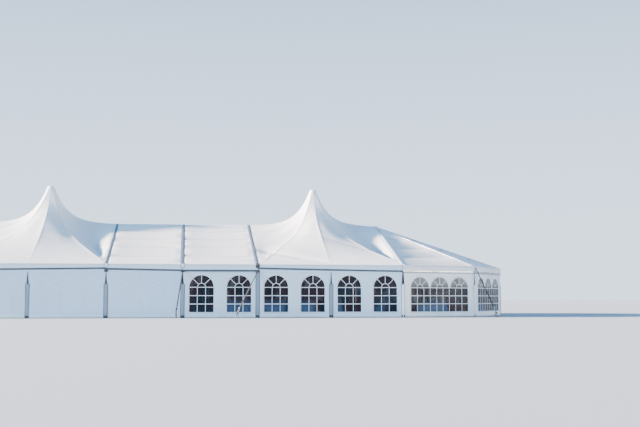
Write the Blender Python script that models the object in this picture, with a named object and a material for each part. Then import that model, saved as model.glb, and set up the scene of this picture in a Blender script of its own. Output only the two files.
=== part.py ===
import bpy
import bmesh
import math
from mathutils import Matrix, Vector

# Sizes in metres. The marquee stands on a plan of straight bays closed by two half decagons.
BAY = 3.0
HALF_WIDTH = 5.8
PEAK_X = 2 * BAY
END_X = 3 * BAY
END_SIDES = 5
EAVE = 2.15
RIDGE = 4.18
PEAK = 5.87

# The end's turn from corner to corner, and the roof's two pitches
TURN = math.pi / END_SIDES
MITRE_COS = math.cos(TURN / 2)
SIDE = 2 * HALF_WIDTH * math.sin(TURN / 2)
TAN = (RIDGE - EAVE) / HALF_WIDTH
COS = math.cos(math.atan(TAN))
END_TAN = TAN / MITRE_COS

# Fits and sheet thicknesses
GAP = 0.0003
SKIN = 0.005
SKIN_DROP = SKIN / COS
CLEAR = 0.002

# Portals and ridge
RAFTER_WIDTH = 0.12
RAFTER_DEPTH = 0.11
LEG_OUT = 0.06
LEG_DEPTH = 0.11
GUSSET_HALF = 0.30
GUSSET_DEPTH = 0.16
RIDGE_BEAM_WIDTH = 0.07
RIDGE_BEAM_DEPTH = 0.09
PLATE = 0.20
PLATE_THICK = 0.012
PLATE_LIP = 0.045

# King posts
SADDLE_REACH = 0.12
SADDLE_WALL = 0.012
SADDLE_CHEEK = 0.07
SADDLE_CROWN = 0.02
MAST_RADIUS = 0.035
CAP_RADIUS = 0.14
CAP_FALL = 0.012
DISC_LIP = 0.03
DISC_THICK = 0.03

# Eave beams and the posts under them
BEAM_OUT = 0.005
BEAM_IN = LEG_OUT - GAP
BEAM_DROP = 0.29
BEAM_BOTTOM = EAVE - BEAM_DROP
POST = 0.07
POST_LAP = 0.05

# Hip frames
HIP_RAFTER_WIDTH = 0.06
HIP_RAFTER_START = 0.10
HIP_RAFTER_LOW = 0.002
HIP_POST_RADIUS = 0.045
HIP_FOOT_RADIUS = 0.10
HUB_LENGTH = 0.16
HUB_HALF = 0.12
HUB_DEPTH = 0.14
HUB_DROP = 0.11

# Covers and valance
PORTAL_GAP = 0.045
SEAM_GAP = 0.002
RIDGE_FLARE = 0.62
HIP_FLARE = 1.1
MAST_FLARE = 0.5
HOLLOW = 0.20
HOLLOW_END = 0.86
HOLLOW_LAP = 0.015
VALANCE_DROP = 0.24
VALANCE_THICK = 0.004
VALANCE_IN = -0.0005
VALANCE_OUT = VALANCE_IN - VALANCE_THICK

# Walls
WALL_OUT = 0.020
WALL_IN = WALL_OUT + SKIN
SHEET_OUT = WALL_IN + GAP
SHEET_IN = SHEET_OUT + CLEAR
POST_CLEAR = 0.0022
POST_IN = SHEET_IN + POST_CLEAR
WALL_TOP = BEAM_BOTTOM - GAP
WALL_BOTTOM = PLATE_THICK + GAP
WALL_MARGIN = 0.03
HEM = 0.045
SLIT = 0.011
LEAF_LAP = 0.10
LEAF_GAP = 0.0008

# Windows
WINDOW = 0.98
WINDOW_TOP_MARGIN = 0.145
SPRING = WALL_TOP - WINDOW_TOP_MARGIN - WINDOW / 2
SILL = 0.225
TRIPLE_HEAD = 0.88
TRIPLE_PITCH = 0.98
ARCH_STEPS = 16
SHEET_MARGIN = 0.05

# Guys
STRAP_WIDTH = 0.05
STRAP_THICK = 0.005
HOOK_RISE = 0.022
HOOK_WIDTH = 0.038
HOOK_LENGTH = 0.035
HOOK_THICK = 0.024
STRAP_START = 0.025
RATCHET_WIDTH = 0.075
RATCHET_THICK = 0.045
RATCHET_LENGTH = 0.16
RATCHET_OFF = 0.14
STRAP_FOOT = 0.15
STAKE_RADIUS = 0.014
STAKE_HEIGHT = 0.20
STAKE_HEAD = 0.012
GUY_REACH = 1.0
CORNER_GUY_REACH = 1.1
MIDDLE_GUY_SLANT = 0.25
RIGHT_GUY_SLANT = 0.90


def clear_scene():
    for obj in list(bpy.data.objects):
        bpy.data.objects.remove(obj, do_unlink=True)


def material(name, colour, roughness, metallic=0.0, alpha=1.0, transmission=0.0):
    mat = bpy.data.materials.new(name)
    mat.use_nodes = True
    shader = mat.node_tree.nodes["Principled BSDF"]
    shader.inputs["Base Color"].default_value = (*colour, 1.0)
    shader.inputs["Roughness"].default_value = roughness
    shader.inputs["Metallic"].default_value = metallic
    shader.inputs["Alpha"].default_value = alpha
    shader.inputs["Transmission Weight"].default_value = transmission
    return mat


def place(name, mesh, finish):
    mesh.name = name
    mesh.materials.clear()
    mesh.materials.append(finish)
    obj = bpy.data.objects.new(name, mesh)
    bpy.context.scene.collection.objects.link(obj)
    return obj


def shell(verts, faces):
    """A closed mesh whose faces all point outwards."""
    mesh = bpy.data.meshes.new("shape")
    work = bmesh.new()
    made = [work.verts.new(v) for v in verts]
    for face in faces:
        work.faces.new([made[i] for i in face])
    bmesh.ops.recalc_face_normals(work, faces=work.faces)
    work.to_mesh(mesh)
    work.free()
    return mesh


def sleeve(rims):
    """A solid through a row of outlines that have the same number of points."""
    count = len(rims[0])
    last = count * (len(rims) - 1)
    faces = [list(range(count)), [last + i for i in range(count)]]
    for first in range(0, last, count):
        for i in range(count):
            j = (i + 1) % count
            faces.append([first + i, first + j, first + count + j, first + count + i])
    return shell([v for rim in rims for v in rim], faces)


def mirrored(mesh, axis):
    """The mirror image of a shape across the middle of the plan."""
    image = mesh.copy()
    image.transform(Matrix.Scale(-1.0, 4, axis))
    image.flip_normals()
    return image


def evaluated(meshes, operation):
    """The first mesh with each of the others joined to it or cut from it."""
    objects = []
    for mesh in meshes:
        obj = bpy.data.objects.new("work", mesh)
        bpy.context.scene.collection.objects.link(obj)
        objects.append(obj)
    base = objects[0]
    for other in objects[1:]:
        boolean = base.modifiers.new("join", "BOOLEAN")
        boolean.operation = operation
        boolean.solver = "EXACT"
        boolean.object = other
    graph = bpy.context.evaluated_depsgraph_get()
    result = bpy.data.meshes.new_from_object(base.evaluated_get(graph))
    for obj in objects:
        bpy.data.objects.remove(obj, do_unlink=True)
    return result


def union(meshes):
    return evaluated(meshes, "UNION")


def difference(meshes):
    return evaluated(meshes, "DIFFERENCE")


def box(low, high):
    corners = [(low[0], low[1]), (high[0], low[1]), (high[0], high[1]), (low[0], high[1])]
    return sleeve([[(x, y, z) for x, y in corners] for z in (low[2], high[2])])


def prism(centre, low, high, radius, sides=12):
    """An upright round post or disc."""
    turns = [2 * math.pi * (i + 0.5) / sides for i in range(sides)]
    ring = [(centre[0] + radius * math.cos(a), centre[1] + radius * math.sin(a)) for a in turns]
    return sleeve([[(x, y, z) for x, y in ring] for z in (low, high)])


def bar(start, end, across, width, thick):
    """A straight bar of oblong section, its width along the direction across."""
    run = (end - start).normalized()
    wide = (across - run * across.dot(run)).normalized() * width / 2
    deep = run.cross(wide).normalized() * thick / 2
    corners = [wide + deep, -wide + deep, -wide - deep, wide - deep]
    return sleeve([[spot + c for c in corners] for spot in (start, end)])


def under_cover(inset):
    """Height under the roof at a distance in from a long side."""
    return EAVE + inset * TAN - SKIN_DROP - GAP


def under_end(inset):
    """Height under the roof at a distance in from a side of an end."""
    return EAVE + inset * END_TAN - SKIN_DROP - GAP


def front_point(x, inset, z):
    """A point of the front side at a distance in from the edge of the roof."""
    return Vector((x, inset - HALF_WIDTH, z))


def corner_point(corner, inset, z):
    """A corner of the right end moved in by one distance from the sides beside it."""
    radius = HALF_WIDTH - inset / MITRE_COS
    turn = corner * TURN
    return Vector((END_X + GAP + radius * math.sin(turn), -radius * math.cos(turn), z))


def end_point(way, inset, z):
    """A point of the right end, its way measured round the sides from the first corner."""
    corner = round(way / SIDE)
    if math.isclose(way, corner * SIDE, abs_tol=GAP):
        return corner_point(corner, inset, z)
    first = int(way // SIDE)
    start = corner_point(first, 0.0, z)
    along = (corner_point(first + 1, 0.0, z) - start).normalized()
    return start + along * (way - first * SIDE) + Vector((-along.y, along.x, 0.0)) * inset


def front_band(outline):
    """A bar of one section along the front."""
    return sleeve([[front_point(x, inset, z) for inset, z in outline] for x in (-END_X, END_X)])


def end_band(outline):
    """A bar of one section bent round the right end."""
    corners = range(END_SIDES + 1)
    return sleeve([[corner_point(k, inset, z) for inset, z in outline] for k in corners])


def folded(outlines, point, outer, inner):
    """A sheet cut to outlines that meet along its folds."""
    spots = []
    for outline in outlines:
        spots += [spot for spot in outline if spot not in spots]
    count = len(spots)
    verts = [point(way, inset, z) for inset in (outer, inner) for way, z in spots]
    faces = []
    edges = []
    for outline in outlines:
        ring = [spots.index(spot) for spot in outline]
        faces += [ring, [count + i for i in ring]]
        edges += zip(ring, ring[1:] + ring[:1])
    for a, b in edges:
        if (b, a) not in edges:
            faces.append([a, b, count + b, count + a])
    return shell(verts, faces)


clear_scene()
ALUMINIUM = material("aluminium", (0.60, 0.61, 0.63), 0.38, 0.85)
DARK_ALUMINIUM = material("dark_eave_beam", (0.085, 0.095, 0.115), 0.5, 0.4)
WHITE_PVC = material("white_pvc", (0.83, 0.82, 0.83), 0.42)
CLEAR_PVC = material("clear_pvc", (0.62, 0.68, 0.74), 0.12, 0.0, 0.35, 0.6)
GREY_STRAP = material("grey_strap", (0.16, 0.17, 0.19), 0.7)
END_TO_END = (1, 0, 0)
FRONT_TO_BACK = (0, 1, 0)


# Portal frames: two legs on ground plates and two rafters, welded at the eaves and the crown.
def portal(x):
    leg_out = HALF_WIDTH - LEG_OUT
    leg_in = leg_out - LEG_DEPTH
    fall = RAFTER_DEPTH / COS
    notch = RIDGE_BEAM_WIDTH / 2 + GAP
    crown = under_cover(HALF_WIDTH) - RIDGE_BEAM_DEPTH - GAP
    outside = [
        (leg_out, 0.0),
        (leg_out, under_cover(LEG_OUT)),
        (notch, under_cover(HALF_WIDTH - notch)),
        (notch, crown),
    ]
    inside = [
        (leg_in, 0.0),
        (leg_in, under_cover(LEG_OUT + LEG_DEPTH) - fall),
        (GUSSET_HALF, crown - GUSSET_DEPTH),
    ]
    outline = outside + [(-y, z) for y, z in reversed(outside)]
    outline += [(-y, z) for y, z in inside] + inside[::-1]
    sides = (x - RAFTER_WIDTH / 2, x + RAFTER_WIDTH / 2)
    pieces = [sleeve([[(side, y, z) for y, z in outline] for side in sides])]
    outer = leg_out + PLATE_LIP
    for hand in (-1, 1):
        near = min(hand * outer, hand * (outer - PLATE))
        low = (x - PLATE / 2, near, 0.0)
        pieces.append(box(low, (x + PLATE / 2, near + PLATE, PLATE_THICK)))
    return union(pieces)


END_PORTAL_X = END_X - RAFTER_WIDTH / 2
PORTALS = (
    ("portal_left_end", -END_PORTAL_X),
    ("portal_left", -BAY),
    ("portal_middle", 0.0),
    ("portal_right", BAY),
    ("portal_right_end", END_PORTAL_X),
)
for name, x in PORTALS:
    place(name, portal(x), ALUMINIUM)


# Ridge beam, lying in the notches of the five crowns, with its top cut to the roof's two slopes.
def ridge_beam():
    half = RIDGE_BEAM_WIDTH / 2
    top = under_cover(HALF_WIDTH)
    low = top - RIDGE_BEAM_DEPTH
    edge = under_cover(HALF_WIDTH - half)
    outline = [(-half, low), (half, low), (half, edge), (0.0, top), (-half, edge)]
    return sleeve([[(x, y, z) for y, z in outline] for x in (-END_X, END_X)])


place("ridge_beam", ridge_beam(), ALUMINIUM)


# King posts that hold up the two peaks, each on a saddle over the ridge beam.
def king_post():
    half = RIDGE_BEAM_WIDTH / 2 + GAP
    wall = half + SADDLE_WALL
    top = under_cover(HALF_WIDTH) + GAP
    edge = under_cover(HALF_WIDTH - half) + GAP
    outline = [
        (-wall, edge - SADDLE_CHEEK),
        (-half, edge - SADDLE_CHEEK),
        (-half, edge),
        (0.0, top),
        (half, edge),
        (half, edge - SADDLE_CHEEK),
        (wall, edge - SADDLE_CHEEK),
        (wall, top + SADDLE_CROWN),
        (-wall, top + SADDLE_CROWN),
    ]
    reach = (PEAK_X - SADDLE_REACH, PEAK_X + SADDLE_REACH)
    saddle = sleeve([[(x, y, z) for y, z in outline] for x in reach])
    head = PEAK - CAP_FALL - SKIN - 2 * GAP
    mast = prism((PEAK_X, 0.0), top + SADDLE_CROWN / 2, head - DISC_THICK / 2, MAST_RADIUS, 16)
    disc = prism((PEAK_X, 0.0), head - DISC_THICK, head, CAP_RADIUS - DISC_LIP, 24)
    return union([saddle, mast, disc])


right_king_post = king_post()
place("king_post_left", mirrored(right_king_post, END_TO_END), ALUMINIUM)
place("king_post_right", right_king_post, ALUMINIUM)


# Eave beams of the two long sides, each with the posts that stand under the peaks.
def beam_outline(under):
    outline = [(BEAM_OUT, BEAM_BOTTOM), (BEAM_OUT, under(BEAM_OUT))]
    return outline + [(BEAM_IN, under(BEAM_IN)), (BEAM_IN, BEAM_BOTTOM)]


def eave_beam():
    pieces = [front_band(beam_outline(under_cover))]
    for x in (-PEAK_X, PEAK_X):
        low = front_point(x - POST / 2, POST_IN, 0.0)
        pieces.append(box(low, low + Vector((POST, POST, BEAM_BOTTOM + POST_LAP))))
        low = front_point(x - PLATE / 2, LEG_OUT - PLATE_LIP, 0.0)
        pieces.append(box(low, low + Vector((PLATE, PLATE, PLATE_THICK))))
    return union(pieces)


front_beam = eave_beam()
place("eave_beam_front", front_beam, DARK_ALUMINIUM)
place("eave_beam_back", mirrored(front_beam, FRONT_TO_BACK), DARK_ALUMINIUM)


# Hip frames of the two ends: a hub at the crown, four hip rafters, the bent eave beam and its posts.
def hip_rafter(corner):
    out = Vector((math.sin(corner * TURN), -math.cos(corner * TURN), 0.0))
    across = Vector((-out.y, out.x, 0.0)) * HIP_RAFTER_WIDTH / 2
    reach = HALF_WIDTH - (BEAM_OUT + BEAM_IN) / 2 / MITRE_COS
    slack = HIP_RAFTER_WIDTH / 2 * math.sin(TURN / 2) + HIP_RAFTER_LOW
    rims = []
    for radius in (HIP_RAFTER_START, reach):
        top = under_end((HALF_WIDTH - radius) * MITRE_COS - slack)
        spot = Vector((END_X + GAP, 0.0, top)) + out * radius
        low = spot - Vector((0.0, 0.0, RAFTER_DEPTH))
        rims.append([spot + across, spot - across, low - across, low + across])
    return sleeve(rims)


def hip_frame():
    pieces = [end_band(beam_outline(under_end))]
    for corner in range(1, END_SIDES):
        spot = corner_point(corner, POST_IN + HIP_POST_RADIUS, 0.0)
        pieces.append(prism(spot, 0.0, PLATE_THICK, HIP_FOOT_RADIUS))
        pieces.append(prism(spot, PLATE_THICK / 2, BEAM_BOTTOM + POST_LAP, HIP_POST_RADIUS))
        pieces.append(hip_rafter(corner))
    start = END_X + GAP
    top = under_cover(HALF_WIDTH) - HUB_DROP
    pieces.append(box((start, -HUB_HALF, top - HUB_DEPTH), (start + HUB_LENGTH, HUB_HALF, top)))
    return union(pieces)


right_hip_frame = hip_frame()
place("hip_frame_left", mirrored(right_hip_frame, END_TO_END), ALUMINIUM)
place("hip_frame_right", right_hip_frame, ALUMINIUM)


# Ridge covers: one pitched sheet from eave to eave in each of the two middle bays.
def ridge_cover(low_x, high_x):
    top = [(-HALF_WIDTH, EAVE), (0.0, RIDGE), (HALF_WIDTH, EAVE)]
    outline = top + [(y, z - SKIN_DROP) for y, z in reversed(top)]
    return sleeve([[(x, y, z) for y, z in outline] for x in (low_x, high_x)])


place("ridge_cover_left", ridge_cover(-BAY + PORTAL_GAP, -PORTAL_GAP), WHITE_PVC)
place("ridge_cover_right", ridge_cover(PORTAL_GAP, BAY - PORTAL_GAP), WHITE_PVC)


# Peak covers: a sheet drawn up to a blunt point, with creases down to its four corners.
MIDDLE_SHARE = 0.5
MIDDLE_POWER = 1.5
PEAK_RINGS = 11
RING_POWER = 1.6
EDGE_STEPS = 12
OVER_RAFTER = 1 - (RAFTER_WIDTH + HOLLOW_LAP) / BAY


def fading(reach, length, end):
    """Falls from one at the cap to nothing at the end, most of it within the length."""
    low = math.exp((CAP_RADIUS - end) / length)
    return (math.exp((CAP_RADIUS - reach) / length) - low) / (1 - low)


def flare_to_middle_post(reach):
    """A sharp fall from the cap, then a long and nearly straight one to the eave."""
    straight = 1 - (reach - CAP_RADIUS) / (HALF_WIDTH - CAP_RADIUS)
    sharp = fading(reach, MAST_FLARE, HALF_WIDTH)
    return MIDDLE_SHARE * sharp + (1 - MIDDLE_SHARE) * max(0.0, straight) ** MIDDLE_POWER


def hollow(u, v):
    """Depth of the cover's fall between a crease and the rafter beside it."""
    if u <= v or u >= OVER_RAFTER or v >= HOLLOW_END:
        return 0.0
    across = (u - v) / (OVER_RAFTER - v)
    return HOLLOW * math.sin(math.pi * across) * math.sin(math.pi * v / HOLLOW_END)


def peak_height(dx, dy):
    """Height of the cover's outer face at an offset from the peak."""
    u = abs(dx) / BAY
    v = abs(dy) / HALF_WIDTH
    way = max(u, v)
    plane = RIDGE - (RIDGE - EAVE) * v - hollow(u, v)
    hip = math.hypot(BAY, HALF_WIDTH)
    crease = fading(way * hip, HIP_FLARE, hip)
    between = flare_to_middle_post(way * HALF_WIDTH)
    if u >= v:
        between = fading(way * BAY, RIDGE_FLARE, BAY)
    return plane + (PEAK - RIDGE) * (between + (crease - between) * min(u, v) / way)


def peak_rim():
    """Points round the edge of the cover, as offsets from the peak."""
    rim = []
    for i in range(EDGE_STEPS):
        way = 2 * i / EDGE_STEPS - 1
        rim += [(1, way), (-way, 1), (-1, -way), (way, -1)]
    rim.sort(key=lambda spot: math.atan2(spot[1], spot[0]))
    return [(BAY * u, HALF_WIDTH * v) for u, v in rim]


def peak_cover():
    rim = peak_rim()
    count = len(rim)
    mesh = bpy.data.meshes.new("cover")
    work = bmesh.new()
    rings = []
    shares = [(step / PEAK_RINGS) ** RING_POWER for step in range(PEAK_RINGS)]
    for share in shares + [OVER_RAFTER, 1.0]:
        ring = []
        for x, y in rim:
            start = CAP_RADIUS / math.hypot(x, y) * (1 - share) + share
            dx, dy = x * start, y * start
            z = peak_height(dx, dy) if share else PEAK - CAP_FALL
            dx = max(min(dx, BAY - SEAM_GAP), PORTAL_GAP - BAY)
            ring.append(work.verts.new((PEAK_X + dx, dy, z)))
        rings.append(ring)
    tip = work.verts.new((PEAK_X, 0.0, PEAK))
    for i in range(count):
        j = (i + 1) % count
        work.faces.new([tip, rings[0][i], rings[0][j]])
        for inner, outer in zip(rings, rings[1:]):
            work.faces.new([inner[i], outer[i], outer[j], inner[j]])
    work.to_mesh(mesh)
    work.free()
    obj = bpy.data.objects.new("work", mesh)
    bpy.context.scene.collection.objects.link(obj)
    solidify = obj.modifiers.new("thickness", "SOLIDIFY")
    solidify.thickness = SKIN
    solidify.offset = -1
    solidify.use_even_offset = True
    solidify.use_quality_normals = True
    graph = bpy.context.evaluated_depsgraph_get()
    result = bpy.data.meshes.new_from_object(obj.evaluated_get(graph))
    bpy.data.objects.remove(obj, do_unlink=True)
    return result


right_peak_cover = peak_cover()
place("peak_cover_left", mirrored(right_peak_cover, END_TO_END), WHITE_PVC)
place("peak_cover_right", right_peak_cover, WHITE_PVC)


# Hip covers: one sheet over each end, folded over the four hip rafters.
def hip_cover():
    start = END_X + SEAM_GAP
    inset = (SEAM_GAP - GAP) * math.tan(TURN / 2)
    rim = [corner_point(corner, 0.0, EAVE) for corner in range(END_SIDES + 1)]
    rim[0] = Vector((start, inset - HALF_WIDTH, EAVE))
    rim[-1] = Vector((start, HALF_WIDTH - inset, EAVE))
    top = [Vector((start, 0.0, RIDGE))] + rim
    verts = top + [v - Vector((0.0, 0.0, SKIN_DROP)) for v in top]
    count = len(top)
    faces = []
    for i in range(1, count - 1):
        faces += [[0, i, i + 1], [count, count + i, count + i + 1]]
    for i in range(count):
        j = (i + 1) % count
        faces.append([i, j, count + j, count + i])
    return shell(verts, faces)


right_hip_cover = hip_cover()
place("hip_cover_left", mirrored(right_hip_cover, END_TO_END), WHITE_PVC)
place("hip_cover_right", right_hip_cover, WHITE_PVC)


# Valances: upright flaps hung round the edge of the roof.
VALANCE_OUTLINE = [
    (VALANCE_OUT, EAVE - VALANCE_DROP),
    (VALANCE_OUT, EAVE),
    (VALANCE_IN, EAVE),
    (VALANCE_IN, EAVE - VALANCE_DROP),
]
front_valance = front_band(VALANCE_OUTLINE)
end_valance = end_band(VALANCE_OUTLINE)
place("valance_front", front_valance, WHITE_PVC)
place("valance_back", mirrored(front_valance, FRONT_TO_BACK), WHITE_PVC)
place("valance_left_end", mirrored(end_valance, END_TO_END), WHITE_PVC)
place("valance_right_end", end_valance, WHITE_PVC)


# Walls: curtains side by side on one hem that hangs from the eave beam.
def curtain(left, right, hem_left, hem_right):
    """The outline of one curtain and of the stretch of hem above it."""
    low = WALL_TOP - HEM
    foot = [(left, low), (left, WALL_BOTTOM), (right, WALL_BOTTOM), (right, low)]
    return [(hem_left, low)] + foot + [(hem_right, low), (hem_right, WALL_TOP), (hem_left, WALL_TOP)]


def curtains(edges, point):
    """A row of curtains with a narrow slit at each edge between two of them."""
    outlines = []
    for left, right in zip(edges, edges[1:]):
        slit_left = left if left == edges[0] else left + SLIT
        slit_right = right if right == edges[-1] else right - SLIT
        outline = curtain(slit_left, slit_right, left, right)
        outlines.append([spot for i, spot in enumerate(outline) if spot not in outline[:i]])
    return folded(outlines, point, WALL_OUT, WALL_IN)


def arch(centre, width):
    """A half circle over a window, from its right foot to its left."""
    turns = [math.pi * i / ARCH_STEPS for i in range(ARCH_STEPS + 1)]
    return [(centre + width / 2 * math.cos(a), SPRING + width / 2 * math.sin(a)) for a in turns]


def window_outline(centres, width):
    """One opening with a straight sill and a round head over each centre."""
    outline = [(centres[0] - width / 2, SILL), (centres[-1] + width / 2, SILL)]
    for centre in reversed(centres):
        outline += arch(centre, width)
    return outline


def cut_windows(wall, outlines, point):
    cutters = [folded([outline], point, WALL_OUT - SKIN, WALL_IN + SKIN) for outline in outlines]
    return difference([wall] + cutters)


def clear_sheet(outlines, point, folds):
    """One clear sheet behind all the windows, folded at the corners between them."""
    ways = [way for outline in outlines for way, z in outline]
    top = max(z for outline in outlines for way, z in outline) + SHEET_MARGIN
    low = SILL - SHEET_MARGIN
    edges = [min(ways) - SHEET_MARGIN] + folds + [max(ways) + SHEET_MARGIN]
    strips = [[(a, low), (b, low), (b, top), (a, top)] for a, b in zip(edges, edges[1:])]
    return folded(strips, point, SHEET_OUT, SHEET_IN)


def curtain_wall():
    """Plain curtains, the last bay closed by two leaves that lap at its middle."""
    wall = curtains([WALL_MARGIN - END_X, -2 * BAY, -BAY, -SLIT], front_point)
    low = -BAY / 2 - LEAF_LAP
    high = -2 * SLIT
    foot = WALL_TOP - HEM
    leaf = [(low, WALL_BOTTOM), (high, WALL_BOTTOM), (high, foot), (low, foot)]
    hem = [(low, foot - SLIT), (high, foot - SLIT), (high, WALL_TOP), (low, WALL_TOP)]
    outer = WALL_OUT - SKIN
    pieces = [wall, folded([leaf], front_point, outer, WALL_OUT - LEAF_GAP)]
    pieces.append(folded([hem], front_point, outer, WALL_OUT + LEAF_GAP))
    return union(pieces)


front_curtain_wall = curtain_wall()
place("front_curtain_wall", front_curtain_wall, WHITE_PVC)
place("back_curtain_wall", mirrored(front_curtain_wall, FRONT_TO_BACK), WHITE_PVC)

front_windows = [window_outline([BAY * (i + 0.5) / 2], WINDOW) for i in range(6)]
front_window_wall = curtains([SLIT, BAY, 2 * BAY, END_X - WALL_MARGIN], front_point)
front_window_wall = cut_windows(front_window_wall, front_windows, front_point)
front_window_sheet = clear_sheet(front_windows, front_point, [])
place("front_window_wall", front_window_wall, WHITE_PVC)
place("front_window_sheet", front_window_sheet, CLEAR_PVC)
place("back_window_wall", mirrored(front_window_wall, FRONT_TO_BACK), WHITE_PVC)
place("back_window_sheet", mirrored(front_window_sheet, FRONT_TO_BACK), CLEAR_PVC)

end_folds = [SIDE * corner for corner in range(1, END_SIDES)]
end_windows = []
for number in range(END_SIDES):
    middle = SIDE * (number + 0.5)
    centres = [middle - TRIPLE_PITCH, middle, middle + TRIPLE_PITCH]
    end_windows.append(window_outline(centres, TRIPLE_HEAD))
end_edges = [WALL_MARGIN] + end_folds + [SIDE * END_SIDES - WALL_MARGIN]
end_wall = curtains(end_edges, end_point)
place("left_end_curtain_wall", mirrored(end_wall, END_TO_END), WHITE_PVC)
place("right_end_window_wall", cut_windows(end_wall, end_windows, end_point), WHITE_PVC)
place("right_end_window_sheet", clear_sheet(end_windows, end_point, end_folds), CLEAR_PVC)


# Guys: a strap from the eave beam down to a ratchet and a steel stake.
def guy(anchor, outward, foot):
    across = Vector((-outward.y, outward.x, 0.0))
    top = anchor + Vector((0.0, 0.0, BEAM_BOTTOM + HOOK_RISE))
    low = foot + Vector((0.0, 0.0, STRAP_FOOT))
    run = (low - top).normalized()
    side = run.cross(Vector((0.0, 0.0, 1.0)))
    ratchet = low - run * RATCHET_OFF
    pieces = [
        bar(top, top + outward * HOOK_LENGTH, across, HOOK_WIDTH, HOOK_THICK),
        bar(top + outward * STRAP_START, low, side, STRAP_WIDTH, STRAP_THICK),
        bar(ratchet - run * RATCHET_LENGTH, ratchet, side, RATCHET_WIDTH, RATCHET_THICK),
        prism(foot, 0.0, STAKE_HEIGHT, STAKE_RADIUS),
        prism(foot, STAKE_HEIGHT - STAKE_HEAD, STAKE_HEIGHT, STAKE_RADIUS * 2),
    ]
    return union(pieces)


def front_guy(x, slant):
    anchor = front_point(x, BEAM_OUT - GAP, 0.0)
    return guy(anchor, Vector((0.0, -1.0, 0.0)), anchor + Vector((-slant, -GUY_REACH, 0.0)))


def corner_guy():
    outward = Vector((math.sin(TURN), -math.cos(TURN), 0.0))
    anchor = corner_point(1, BEAM_OUT - GAP, 0.0)
    return guy(anchor, outward, anchor + outward * CORNER_GUY_REACH)


front_guys = (
    ("middle", front_guy(0.0, MIDDLE_GUY_SLANT)),
    ("right", front_guy(BAY, RIGHT_GUY_SLANT)),
    ("left_corner", mirrored(corner_guy(), END_TO_END)),
    ("right_corner", corner_guy()),
)
for spot, strap in front_guys:
    place("guy_front_" + spot, strap, GREY_STRAP)
    place("guy_back_" + spot, mirrored(strap, FRONT_TO_BACK), GREY_STRAP)
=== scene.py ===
import math

import bmesh
import bpy
import numpy as np
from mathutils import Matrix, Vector, noise
from mathutils.geometry import delaunay_2d_cdt


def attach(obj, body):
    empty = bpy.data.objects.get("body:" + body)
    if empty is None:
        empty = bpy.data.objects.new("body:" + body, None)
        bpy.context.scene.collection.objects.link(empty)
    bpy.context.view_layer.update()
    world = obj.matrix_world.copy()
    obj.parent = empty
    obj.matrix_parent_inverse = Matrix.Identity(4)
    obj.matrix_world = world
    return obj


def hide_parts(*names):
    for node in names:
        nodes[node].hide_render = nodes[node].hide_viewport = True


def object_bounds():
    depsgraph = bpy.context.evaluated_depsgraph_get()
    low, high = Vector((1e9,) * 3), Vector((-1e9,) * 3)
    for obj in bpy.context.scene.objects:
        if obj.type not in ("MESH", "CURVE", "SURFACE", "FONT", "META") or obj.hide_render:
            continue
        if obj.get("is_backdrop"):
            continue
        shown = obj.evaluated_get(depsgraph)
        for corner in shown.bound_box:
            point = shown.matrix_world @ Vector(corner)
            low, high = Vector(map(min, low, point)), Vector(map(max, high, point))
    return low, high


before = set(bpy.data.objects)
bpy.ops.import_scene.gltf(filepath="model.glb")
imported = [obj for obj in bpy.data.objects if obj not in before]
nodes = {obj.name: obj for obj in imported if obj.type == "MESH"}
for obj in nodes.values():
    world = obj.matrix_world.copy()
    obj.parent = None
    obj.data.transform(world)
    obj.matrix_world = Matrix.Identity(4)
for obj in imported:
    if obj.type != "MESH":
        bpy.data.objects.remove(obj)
cad_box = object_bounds()


# Portals, ridge beam, king posts and hip frames: box sections of extruded aluminium, welded at the
# eaves and crown and bolted together on site. They have a mill finish with fine lines and dull
# patches. The legs are dark slate below the eave beam: partly paint, and partly painted shade that
# stands in for the shade seen through the slits between the curtains.
BAY = 3.0
HALF_WIDTH = 5.8
END_X = 3 * BAY
EAVE = 2.15
RIDGE = 4.18
PITCH = (RIDGE - EAVE) / HALF_WIDTH
LEG_TOP = 1.88
LEG_PAINT_AND_SHADE = (0.045, 0.055, 0.07)
LEG_PAINT_WORN_AND_SHADE = (0.10, 0.11, 0.125)
PORTALS = ("portal_left_end", "portal_left", "portal_middle", "portal_right", "portal_right_end")
HIP_FRAMES = ("hip_frame_left", "hip_frame_right")


def sum_of(operation, swapped=False):
    """One operator of a socket, as a Math node."""
    def made(self, other=0.0):
        first, second = (other, self) if swapped else (self, other)
        return self.finish.node("Math", {"operation": operation}, {0: first, 1: second})
    return made


class Socket:
    """A node's output that takes part in Python sums."""

    def __init__(self, finish, output):
        self.finish = finish
        self.output = output

    __add__, __radd__ = sum_of("ADD"), sum_of("ADD", True)
    __sub__, __rsub__ = sum_of("SUBTRACT"), sum_of("SUBTRACT", True)
    __mul__, __rmul__ = sum_of("MULTIPLY"), sum_of("MULTIPLY", True)
    __mod__, __abs__ = sum_of("FLOORED_MODULO"), sum_of("ABSOLUTE")


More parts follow.
